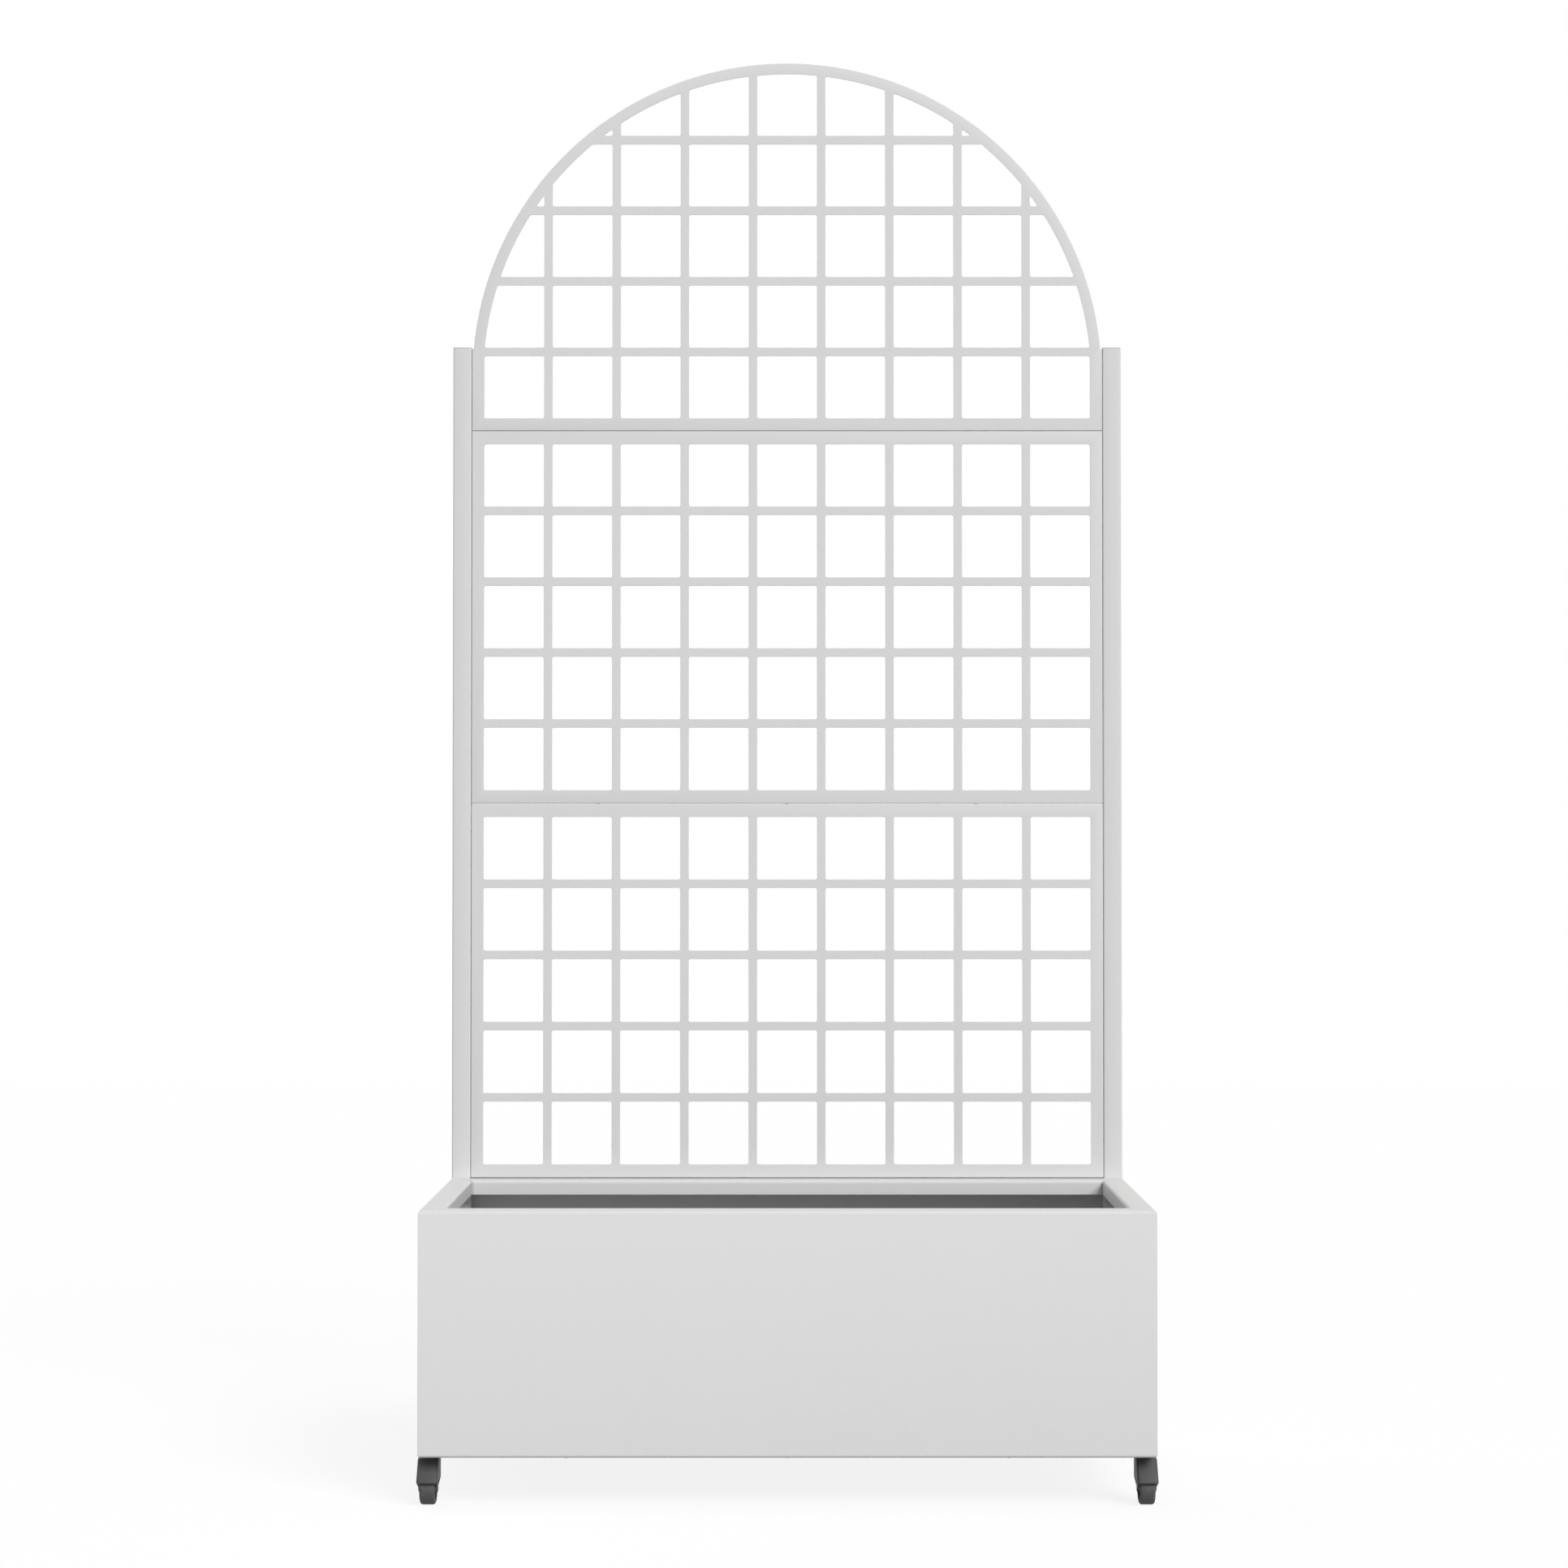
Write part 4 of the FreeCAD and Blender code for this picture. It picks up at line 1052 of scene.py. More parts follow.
@dataclass
class Trellis:
    """Three cut-sheet grids with folded edges, the top one under a round arch."""

    trough: Trough
    sheet: float = 0.0015
    fold: float = 0.018
    fold_radius: float = 0.0009
    lift: float = 0.001
    seam: float = 0.0006
    gap: float = 0.0005
    columns: int = 9
    rows: int = 5
    bar: float = 0.011
    opening_height: float = 0.081
    corner: float = 0.0025
    rail: float = 0.017
    stile: float = 0.0159
    band: float = 0.014
    arch_rail: float = 0.016
    arch_dip: float = 0.0003
    arch_inset: float = 0.0005
    shoulder: float = 0.1065
    edge: float = 0.00025

    @property
    def half_width(self) -> float:
        """Half of a panel's width."""
        return self.trough.post_in - self.gap

    @property
    def opening_width(self) -> float:
        """Width of one opening."""
        left = 2 * self.half_width - 2 * self.stile - (self.columns - 1) * self.bar
        return left / self.columns

    @property
    def field_height(self) -> float:
        """Height of a panel's openings with the bars between them."""
        return self.rows * self.opening_height + (self.rows - 1) * self.bar

    @property
    def height(self) -> float:
        """Height of a square-topped panel."""
        return 2 * self.rail + self.field_height

    @property
    def arch_radius(self) -> float:
        """Outer radius of the arch."""
        return self.half_width - self.arch_inset

    @property
    def arch_centre(self) -> float:
        """Height of the arch's centre above its panel's foot."""
        return self.arch_rail + self.field_height + self.band - self.arch_dip - self.arch_radius

    @property
    def post_top(self) -> float:
        """Height at which the posts end."""
        return self.foot(Level.TOP) + self.shoulder

    def foot(self, level: Level) -> float:
        """Height of a panel's lower edge above the ground.

        Args:
            level: The panel.

        Returns:
            The height.
        """
        return self.trough.rim_height + self.lift + level.value * (self.height + self.seam)

    def outline(self, level: Level, inset: float) -> list[tuple[float, float, float]]:
        """Edge of a panel, counter-clockwise, with the depth of the fold at each point.

        Args:
            level: The panel.
            inset: Distance in from the outer edge.

        Returns:
            Across, up and fold depth of each point.
        """
        wide = self.half_width - inset
        if level is not Level.TOP:
            high = self.height - inset
            flat = ((-wide, inset), (wide, inset), (wide, high), (-wide, high))
            return [(x, z, self.fold) for x, z in flat]
        radius = self.arch_radius - inset
        centre = self.arch_centre
        shoulder = self.shoulder - inset
        start = math.degrees(math.asin((shoulder - centre) / radius))
        curve = arc((0.0, centre), radius, start, 180.0 - start, 96)
        points = [(-wide, inset, self.fold), (wide, inset, self.fold), (wide, shoulder, self.fold)]
        points += [(wide, shoulder, self.sheet)]
        points += [(x, z, self.sheet) for x, z in curve]
        points += [(-wide, shoulder, self.sheet), (-wide, shoulder, self.fold)]
        return points

    def openings(self, level: Level) -> list[list[Point2]]:
        """Openings of a panel, each cut off by the arch's band where it reaches that.

        Args:
            level: The panel.

        Returns:
            Outlines in the panel's own plane.
        """
        found = []
        rail = self.arch_rail if level is Level.TOP else self.rail
        for column in range(self.columns):
            for row in range(self.rows):
                x = -self.half_width + self.stile + column * (self.opening_width + self.bar)
                z = rail + row * (self.opening_height + self.bar)
                far = (x + self.opening_width, z + self.opening_height)
                shape = rounded_outline((x, z), far, self.corner)
                if level is Level.TOP:
                    shape = self.under_arch(shape)
                if len(shape) >= 3:
                    found.append(shape)
        return found

    def under_arch(self, shape: list[Point2]) -> list[Point2]:
        """Part of an opening that lies inside the arch's band.

        Args:
            shape: Outline of the opening.

        Returns:
            The outline that is left, empty if the opening lies outside.
        """
        radius = self.arch_radius - self.band
        centre = self.arch_centre
        kept = shape
        steps = 180
        for index in range(steps):
            angle = math.pi * (index + 0.5) / steps
            normal = (math.cos(angle), math.sin(angle))
            reach = radius * math.cos(math.pi / steps / 2)
            kept = self._clip(kept, normal, reach + centre * normal[1])
            if not kept:
                return []
        area = sum(a[0] * b[1] - b[0] * a[1] for a, b in zip(kept, kept[1:] + kept[:1])) / 2
        return self.eased(kept) if area > self.corner * self.corner else []

    def eased(self, shape: list[Point2]) -> list[Point2]:
        """Outline with its sharp corners rounded off.

        Args:
            shape: Outline of a cut-off opening.

        Returns:
            The outline with an easy curve in place of each sharp corner.
        """
        points = [Vector(point) for point in shape]
        count = len(points)
        runs = [0.0]
        for here, there in zip(points, points[1:] + points[:1]):
            runs.append(runs[-1] + (there - here).length)
        total = runs[-1]

        def along(run: float) -> Vector:
            """Point at a distance along the outline."""
            run %= total
            index = max(i for i in range(count) if runs[i] <= run)
            share = (run - runs[index]) / max(runs[index + 1] - runs[index], WELD)
            return points[index].lerp(points[(index + 1) % count], min(share, 1.0))

        probe = 0.0008
        cuts = []
        for index in range(count):
            into = points[index] - along(runs[index] - probe)
            out = along(runs[index] + probe) - points[index]
            turn = abs(into.angle_signed(out))
            if turn > math.radians(35.0):
                cuts.append((index, self.corner * math.tan(min(turn, math.radians(120.0)) / 2)))
        found = []
        for index in range(count):
            gaps = [(abs(runs[index] - runs[cut]), t) for cut, t in cuts]
            if all(min(gap, total - gap) > t for gap, t in gaps):
                found.append((runs[index], points[index]))
        steps = 6
        for cut, t in cuts:
            start, end = along(runs[cut] - t), along(runs[cut] + t)
            for step in range(steps + 1):
                share = step / steps
                bend = start.lerp(points[cut], share).lerp(points[cut].lerp(end, share), share)
                found.append((runs[cut] + t * (2 * share - 1), bend))
        found.sort(key=lambda pair: pair[0])
        return [(point.x, point.y) for _, point in found]

    @staticmethod
    def _clip(shape: list[Point2], normal: Point2, reach: float) -> list[Point2]:
        """Outline on the inner side of a straight line.

        Args:
            shape: Outline to clip.
            normal: Direction out of the line.
            reach: Distance of the line from the origin along that direction.

        Returns:
            The outline that is left.
        """
        sides = [x * normal[0] + z * normal[1] - reach for x, z in shape]
        if max(sides) <= 0.0:
            return shape
        kept: list[Point2] = []
        for index, (x, z) in enumerate(shape):
            after = (index + 1) % len(shape)
            here, there = sides[index], sides[after]
            if here <= 0.0:
                kept.append((x, z))
            if here * there < 0.0:
                share = here / (here - there)
                kept.append((x + share * (shape[after][0] - x), z + share * (shape[after][1] - z)))
        return kept

    def panel(self, level: Level) -> bpy.types.Object:
        """One panel: pierced face, folded edges and closed back.

        Args:
            level: The panel.

        Returns:
            The raw panel.
        """
        piece = Piece(f"trellis_{level.word}_grid")
        front, foot = self.trough.post_front, self.foot(level)
        holes = self.openings(level)
        rings = []
        bend_steps = 4
        for index in range(bend_steps + 1):
            turn = math.pi / 2 * index / bend_steps
            inset = self.fold_radius * (1.0 - math.sin(turn))
            depth = self.fold_radius * (1.0 - math.cos(turn))
            rings.append([(x, z, depth) for x, z, _ in self.outline(level, inset)])
        rings.append([(x, z, fold) for x, z, fold in self.outline(level, 0.0)])
        rings.append([(x, z, fold) for x, z, fold in self.outline(level, self.sheet)])
        rings.append([(x, z, self.sheet) for x, z, _ in self.outline(level, self.sheet)])
        piece.sweep([[Vector((x, front + y, foot + z)) for x, z, y in ring] for ring in rings], capped=False)
        for depth, edge in ((0.0, rings[0]), (self.sheet, rings[-1])):
            self._fill(piece, [(x, z) for x, z, _ in edge], holes, front + depth, foot)
        for hole in holes:
            walls = [[Vector((x, front + depth, foot + z)) for x, z in hole] for depth in (0.0, self.sheet)]
            piece.sweep(walls, capped=False)
        return Workshop.soften(piece.build(), self.edge, 1, 60.0)

    @staticmethod
    def _fill(piece: Piece, edge: Sequence[Point2], holes: Sequence[Sequence[Point2]], depth: float,
              foot: float) -> None:
        """Fill a flat outline round its holes.

        Args:
            piece: The piece that gets the faces.
            edge: The outline.
            holes: Outlines that stay open.
            depth: Place of the plane from front to back.
            foot: Height of the outline's zero.
        """
        outer: list[Point2] = []
        for point in edge:
            if not outer or math.dist(point, outer[-1]) > WELD:
                outer.append(point)
        points = [Vector(point) for point in outer]
        owners = [-1] * len(outer)
        edges = [(index, (index + 1) % len(outer)) for index in range(len(outer))]
        for number, hole in enumerate(holes):
            start = len(points)
            points += [Vector(point) for point in hole]
            owners += [number] * len(hole)
            edges += [(start + index, start + (index + 1) % len(hole)) for index in range(len(hole))]
        flat, _, faces, sources, _, _ = delaunay_2d_cdt(points, edges, [], 1, WELD)
        corners = [piece.mesh.verts.new((x, depth, foot + z)) for x, z in flat]
        for face in faces:
            sides = {owners[sources[index][0]] for index in face}
            if len(sides) > 1 or sides == {-1}:
                piece.mesh.faces.new([corners[index] for index in face])

    def build(self, coat: bpy.types.Material) -> None:
        """Make and dress the three panels.

        Args:
            coat: Finish of the panels.
        """
        for level in Level:
            Workshop.dress(self.panel(level), coat, Slot.COAT, "planter", [f"trellis_{level.word}_panel"])


@dataclass
class Hardware:
    """Screws, studs, bolts and nuts of the box and the trellis."""

    trough: Trough
    trellis: Trellis
    repeater: Repeater
    screw_radius: float = 0.002
    screw_length: float = 0.010
    head_radius: float = 0.004
    head: float = 0.0022
    stud_radius: float = 0.0025
    stud_length: float = 0.010
    nut_across: float = 0.008
    nut_height: float = 0.004
    pitch: float = 0.0007
    corner_shares: tuple[float, ...] = (0.2, 0.5, 0.8)
    panel_shares: tuple[float, ...] = (0.25, 0.75)
    across_shares: tuple[float, ...] = (-0.3, 0.0, 0.3)

    @staticmethod
    def thread(radius: float, low: float, high: float, pitch: float) -> list[Point2]:
        """Ridges of a thread, from low to high.

        Args:
            radius: Outer radius.
            low: Height of the lower end.
            high: Height of the upper end.
            pitch: Distance from ridge to ridge.

        Returns:
            Radius and height pairs.
        """
        count = max(2, round((high - low) / pitch))
        step = (high - low) / count
        points: list[Point2] = []
        for index in range(count):
            points += [(radius - pitch * 0.35, low + index * step), (radius, low + (index + 0.5) * step)]
        return points + [(radius - pitch * 0.35, high)]

    def screw(self, length: float) -> bpy.types.Object:
        """Pan-head screw with a cross recess; its head bears at z = 0 and its shank runs down.

        Args:
            length: Length of the shank.

        Returns:
            The template.
        """
        piece = Piece("screw_template")
        wide, high = self.head_radius, self.head
        shares = ((1.0, 0.0), (0.985, 0.3), (0.9, 0.62), (0.72, 0.86), (0.45, 0.98), (0.0, 1.0))
        dome = [(wide * across, high * up) for across, up in shares]
        outline = [(0.0, -length)] + self.thread(self.screw_radius, -length, 0.0, self.pitch) + dome
        piece.lathe(outline, Matrix.Identity(4), 20)
        made = piece.build()
        reach, slot = self.head_radius * 0.56, self.head_radius * 0.085
        tools = []
        for wide_x, wide_y in ((reach, slot), (slot, reach)):
            tool = Piece("recess_tool")
            tool.slab((-wide_x, -wide_y, high * 0.42), (wide_x, wide_y, high * 2))
            tools.append(tool.build())
        return Workshop.carve(made, tools)

    def nut(self, across: float, height: float, hole: float) -> bpy.types.Object:
        """Hexagon nut with turned-off corners, standing on z = 0.

        Args:
            across: Width across the flats.
            height: Height.
            hole: Radius of the stud.

        Returns:
            The template.
        """
        piece = Piece("nut_template")
        reach = across / math.sqrt(3.0)
        turns = [math.pi / 3 * index for index in range(6)]
        corners = [(reach * math.cos(turn), reach * math.sin(turn)) for turn in turns]
        piece.sweep([[Vector((x, y, z)) for x, y in corners] for z in (0.0, height)])
        made = piece.build()
        turned = Piece("turning_tool")
        ease = height * 0.14
        flat = across / 2 * 0.96
        outline = [(0.0, 0.0), (flat, 0.0), (reach, ease)]
        outline += [(reach, height - ease), (flat, height), (0.0, height)]
        turned.lathe(outline, Matrix.Identity(4), 36)
        Workshop.carve(made, [turned.build()], "INTERSECT")
        bore = Piece("bore_tool")
        through = [(0.0, -height), (hole, -height), (hole, 2 * height), (0.0, 2 * height)]
        bore.lathe(through, Matrix.Identity(4), 24)
        return Workshop.carve(made, [bore.build()])

    def stud(self) -> bpy.types.Object:
        """Threaded stud with its root at z = 0.

        Returns:
            The template.
        """
        piece = Piece("stud_template")
        ease = self.stud_radius * 0.25
        outline = [(0.0, 0.0)] + self.thread(self.stud_radius, 0.0, self.stud_length - ease, self.pitch)
        outline += [(self.stud_radius * 0.6, self.stud_length), (0.0, self.stud_length)]
        piece.lathe(outline, Matrix.Identity(4), 20)
        return piece.build()

    def corner_heights(self) -> list[float]:
        """Heights of the fasteners along each upright corner."""
        return [self.trough.under + share * self.trough.height for share in self.corner_shares]

    def lay(self, node: str, name: str, template: bpy.types.Object, spots: Sequence[tuple[Vector, Vector]],
            finish: bpy.types.Material, slot: Slot) -> None:
        """Set out one kind of fastener and dress it.

        Args:
            node: The solid that it stands for.
            name: Name of the piece.
            template: Object to copy.
            spots: Places and turns of the copies.
            finish: Their material.
            slot: The record's slot of that finish.
        """
        Workshop.dress(self.repeater.lay(name, template, spots, finish), finish, slot, "planter", [node])

    def build(self, coat: bpy.types.Material, zinc: bpy.types.Material) -> None:
        """Make and dress every fastener.

        Args:
            coat: Finish of the painted heads.
            zinc: Finish of the studs and nuts.
        """
        box, grid = self.trough, self.trellis
        tab_x = box.half_width - (box.tab + box.sheet) / 2
        post_x = (box.post_in + box.post_out) / 2
        turn_mid = (box.bend + box.turn_in) / 2
        fold_y = box.post_front + grid.fold / 2
        rear, upward, downward = facing((0, 1, 0)), facing((0, 0, 1)), Vector((math.pi, 0.0, 0.0))
        studs, nuts, backs, floors, panels, bolts, bolt_nuts = ([] for _ in range(7))
        for side in Side:
            for z in self.corner_heights():
                studs.append((Vector((side.value * tab_x, box.front + box.sheet, z)), rear))
                nuts.append((Vector((side.value * tab_x, box.front + 2 * box.sheet, z)), rear))
                backs.append((Vector((side.value * post_x, box.back, z)), rear))
            inward = facing((-side.value, 0, 0))
            fold_x = side.value * (grid.half_width - grid.sheet)
            for level in Level:
                rise = grid.shoulder if level is Level.TOP else grid.height
                for share in self.panel_shares:
                    spot = Vector((fold_x, fold_y, grid.foot(level) + share * rise))
                    panels.append((spot, inward))
        for share in self.across_shares:
            for y in (box.front + turn_mid, box.back - turn_mid):
                floors.append((Vector((2 * box.half_width * share, y, box.floor_top)), upward))
            for level in (Level.MIDDLE, Level.TOP):
                x = 2 * grid.half_width * share
                under = grid.foot(level) - grid.seam - grid.sheet
                bolts.append((Vector((x, fold_y, under)), downward))
                bolt_nuts.append((Vector((x, fold_y, grid.foot(level) + grid.sheet)), upward))
        stack = 2 * grid.sheet + grid.seam + self.nut_height + self.screw_radius / 2
        short = box.floor_sheet + box.sheet + self.screw_radius
        nut = self.nut(self.nut_across, self.nut_height, self.stud_radius)
        small_nut = self.nut(self.nut_across, self.nut_height, self.screw_radius)
        self.lay("front_corner_studs", "weld_studs", self.stud(), studs, zinc, Slot.ZINC)
        self.lay("front_corner_nuts", "stud_nuts", nut, nuts, zinc, Slot.ZINC)
        self.lay("back_corner_screws", "back_screws", self.screw(self.screw_length), backs, coat, Slot.SCREW)
        self.lay("base_screws", "floor_screws", self.screw(short), floors, coat, Slot.SCREW)
        self.lay("trellis_screws", "panel_screws", self.screw(self.screw_length), panels, coat, Slot.SCREW)
        self.lay("trellis_bolts", "panel_bolts", self.screw(stack), bolts, coat, Slot.SCREW)
        self.lay("trellis_nuts", "panel_nuts", small_nut, bolt_nuts, zinc, Slot.ZINC)


@dataclass
class Casters:
    """Four swivel casters with the plates and nuts that hold their stems."""

    trough: Trough
    hardware: Hardware
    inset: float = 0.01
    plate: tuple[float, float, float] = (0.022, 0.024, 0.003)
    plate_gap: float = 0.0056
    stem_radius: float = 0.003
    stem_reach: float = 0.002
    stem_nut: Point2 = (0.010, 0.005)
    collar: Point2 = (0.008, 0.002)
    neck: float = 0.004
    pivot_head: Point2 = (0.0065, 0.0022)
    swivel_gap: float = 0.0003
    washer: float = 0.0012
    fork_width: float = 0.025
    foot_width: float = 0.0226
    crown: float = 0.003
    crown_reach: float = 0.011
    brow_reach: float = 0.003
    hood_gap: float = 0.002
    hood_thick: float = 0.003
    hood_bottom: float = 0.0285
    boss: float = 0.0055
    trail: float = 0.014
    axle: float = 0.0025
    axle_head: Point2 = (0.004, 0.0008)
    wheel: float = 0.020
    wheel_width: float = 0.0184
    wheel_gap: float = 0.0005
    tyre: float = 0.0036
    shoulder: float = 0.0034
    hub_inset: float = 0.001
    hub_boss: float = 0.0055
    hub_rim: float = 0.0025
    hub_recess: float = 0.0035
    fit_gap: float = 0.00005
    ribs: int = 6
    crown_round: float = 0.005
    side_round: float = 0.0035
    hollow_round: float = 0.0012
    brow_drop: float = 0.0012
    leg_inset: float = 0.001
    leg_lap: float = 0.002
    mould_edge: float = 0.0006
    leg_edge: float = 0.0007
    hub_edge: float = 0.0004
    plate_edge: float = 0.0004
    rib_edge: float = 0.0002
    rib_half: float = 0.0007
    rib_sink: float = 0.0011
    slack: float = 0.0003
    tool_reach: float = 0.005

    @property
    def fork_top(self) -> float:
        """Height of the fork's top face."""
        return self.trough.under - self.collar[1] - self.swivel_gap - self.washer

    @property
    def deep(self) -> float:
        """Distance of a stem from the nearer of the front and back faces."""
        box = self.trough
        return box.post + 2 * box.sheet + self.plate[1] / 2 + self.plate_gap

    def stem_spot(self, row: Row, side: Side) -> Vector:
        """Ground point under a stem.

        Args:
            row: Front or back pair.
            side: Left or right.

        Returns:
            The point.
        """
        box = self.trough
        y = box.front + self.deep if row is Row.FRONT else box.back - self.deep
        return Vector((side.value * (box.half_width - self.inset), y, 0.0))

    def stem(self, name: str, spot: Vector) -> bpy.types.Object:
        """Threaded stem with collar, neck and riveted head.

        Args:
            name: Name of the piece.
            spot: Ground point under it.

        Returns:
            The raw stem.
        """
        box = self.trough
        low = self.fork_top - self.crown - self.swivel_gap - self.pivot_head[1]
        high = box.floor_top + self.plate[2] + self.stem_nut[1] + self.stem_reach
        under = box.under
        wide, thick = self.pivot_head
        ease = self.collar[1] * 0.2
        shares = ((0.0, 0.0), (0.62, 0.0), (0.92, 0.3), (1.0, 0.7), (1.0, 1.0))
        outline = [(wide * across, low + thick * up) for across, up in shares]
        ring, seat = self.collar[0], under - self.collar[1]
        outline += [(self.neck, low + thick), (self.neck, seat), (ring - ease, seat), (ring, seat + ease)]
        outline += [(ring, under - ease), (ring - ease, under)]
        outline += Hardware.thread(self.stem_radius, under, high - ease, self.hardware.pitch * 1.4)
        outline += [(self.stem_radius * 0.65, high), (0.0, high)]
        piece = Piece(name)
        piece.lathe(outline, Matrix.Translation(spot), 40)
        return piece.build()

    def ring(self, name: str, spot: Vector) -> bpy.types.Object:
        """Bearing washer on top of a fork.

        Args:
            name: Name of the piece.
            spot: Ground point under it.

        Returns:
            The raw washer.
        """
        low, high, ease = self.fork_top, self.fork_top + self.washer, self.washer * 0.25
        bore, wide = self.neck + self.fit_gap, self.collar[0]
        outline = [(bore, low), (wide - ease, low), (wide, low + ease)]
        outline += [(wide, high - ease), (wide - ease, high), (bore, high)]
        piece = Piece(name)
        piece.lathe(outline, Matrix.Translation(spot), 40)
        return piece.build()

    def fork(self, name: str, spot: Vector) -> bpy.types.Object:
        """Hooded fork: rounded shell over the wheel, legs and axle bosses.

        Args:
            name: Name of the piece.
            spot: Ground point under its stem.

        Returns:
            The raw fork.
        """
        centre = spot + Vector((0.0, -self.trail, self.wheel))
        cavity = self.wheel + self.hood_gap
        hood = cavity + self.hood_thick
        half, foot = self.fork_width / 2, self.foot_width / 2
        top = self.fork_top - self.wheel
        low = self.hood_bottom - self.wheel
        back = self.trail + self.crown_reach
        start = math.degrees(math.asin(low / hood))
        brow = math.degrees(math.asin(cavity / 2 / hood))
        round_top = self.crown_round
        outline = arc((0.0, 0.0), hood, 180.0 - start, 180.0 - brow, 1)
        outline += [(-self.brow_reach * 1.9, top - self.brow_drop), (-self.brow_reach * 0.8, top)]
        outline += arc((back - round_top, top - round_top), round_top, 90.0, 0.0, 6)
        outline += [(back, cavity / 2), (hood * math.cos(math.radians(start)), low)]
        shell = Piece(name)
        round_side = self.side_round
        stations = []
        for x, _ in arc((-half + round_side, 0.0), round_side, 180.0, 90.0, 5):
            inset = round_side - math.sqrt(max(round_side**2 - (x + half - round_side) ** 2, 0.0))
            stations.append((x, inset))
        stations += [(-x, inset) for x, inset in reversed(stations)]
        rings = []
        for x, inset in stations:
            rings.append([centre + Vector((x, y, z)) for y, z in self._drawn_in(outline, inset)])
        shell.sweep(rings)
        made = Workshop.soften(shell.build(), self.mould_edge, 2, 50.0)
        legs = Piece("fork_legs")
        rings = []
        shelf = self.wheel - self.leg_inset
        levels = ((low + self.leg_lap, half, shelf), (low, half, shelf), (0.0, foot, self.boss))
        for z, wide, deep in levels:
            flat = ((-wide, -deep), (wide, -deep), (wide, deep), (-wide, deep))
            rings.append([centre + Vector((x, y, z)) for x, y in flat])
        legs.sweep(rings)
        boss = Piece("fork_boss")
        along = Matrix.Translation(centre) @ Matrix.Rotation(math.pi / 2, 4, "Y")
        edge = self.slack
        rounded = [(0.0, -foot), (self.boss - edge, -foot), (self.boss, -foot + edge)]
        rounded += [(self.boss, foot - edge), (self.boss - edge, foot), (0.0, foot)]
        boss.lathe(rounded, along, 48)
        softened = Workshop.soften(legs.build(), self.leg_edge, 2, 50.0)
        Workshop.carve(made, [softened, boss.build()], "UNION")
        tools = []
        room = self.wheel_width / 2 + self.wheel_gap
        ease = self.hollow_round
        hollow = [(0.0, -room), (cavity - ease, -room), (cavity, -room + ease)]
        hollow += [(cavity, room - ease), (cavity - ease, room), (0.0, room)]
        upright = Matrix.Translation(spot)
        head = self.fork_top - self.crown
        pocket = self.pivot_head[0] + self.trough.seat_gap
        bore = self.neck + self.fit_gap
        seat = self.axle_head[0] + self.slack
        far = self.tool_reach
        outlines = [
            (hollow, along),
            ([(0.0, self.wheel * 1.5), (pocket, self.wheel * 1.5), (pocket, head), (0.0, head)], upright),
            ([(0.0, head - far), (bore, head - far), (bore, head + 2 * far), (0.0, head + 2 * far)], upright),
            ([(0.0, foot), (seat, foot), (seat, foot + far), (0.0, foot + far)], along),
            ([(0.0, -foot - far), (seat, -foot - far), (seat, -foot), (0.0, -foot)], along),
        ]
        for shape, where in outlines:
            tool = Piece("fork_tool")
            tool.lathe(shape, where, 64)
            tools.append(tool.build())
        return Workshop.carve(made, tools)

    @staticmethod
    def _drawn_in(outline: Sequence[Point2], inset: float) -> list[Point2]:
        """Open outline moved to its right-hand side, with its two ends kept at their heights.

        Args:
            outline: Points of the outline, clockwise.
            inset: Distance to move.

        Returns:
            The moved points.
        """
        points = [Vector(point) for point in outline]
        normals = []
        for here, there in zip(points, points[1:]):
            along = (there - here).normalized()
            normals.append(Vector((-along.y, along.x)))
        moved = []
        for index, point in enumerate(points):
            before, after = normals[max(index - 1, 0)], normals[min(index, len(normals) - 1)]
            shift = (before + after) / (1.0 + before.dot(after))
            moved.append(point - shift * inset)
        for end, normal in ((0, normals[0]), (-1, normals[-1])):
            slide = (points[end].y - moved[end].y) / normal.x
            moved[end] += Vector((-normal.y, normal.x)) * slide
        return [(point.x, point.y) for point in moved]

    def spindle(self, name: str, along: Matrix) -> bpy.types.Object:
        """Axle with two riveted heads.

        Args:
            name: Name of the piece.
            along: Matrix of the wheel's axis.

        Returns:
            The raw axle.
        """
        foot = self.foot_width / 2
        wide, thick = self.axle_head
        shares = ((1.0, 0.0), (1.0, 0.4), (0.86, 0.75), (0.55, 1.0))
        end = [(wide * across, foot + thick * up) for across, up in shares]
        outline = [(0.0, -foot - thick)] + [(r, -h) for r, h in reversed(end)]
        outline += [(self.axle, -foot), (self.axle, foot)] + end + [(0.0, foot + thick)]
        piece = Piece(name)
        piece.lathe(outline, along, 32)
        return piece.build()

    def hub(self, name: str, along: Matrix) -> bpy.types.Object:
        """Hub with a recess on both sides.

        Args:
            name: Name of the piece.
            along: Matrix of the wheel's axis.

        Returns:
            The raw hub.
        """
        half = self.wheel_width / 2 - self.hub_inset
        deep = half - self.hub_recess
        wide = self.wheel - self.tyre - self.fit_gap
        lip = wide - self.hub_rim
        ease = self.hub_edge
        side = [(self.axle + self.fit_gap, half), (self.hub_boss - ease, half), (self.hub_boss, half - ease)]
        side += [(self.hub_boss + ease, deep), (lip - ease, deep)]
        side += [(lip, half - ease), (lip + ease, half), (wide, half)]
        outline = [(r, -h) for r, h in side] + [(r, h) for r, h in reversed(side)]
        piece = Piece(name)
        piece.lathe(outline, along, 64)
        return piece.build()

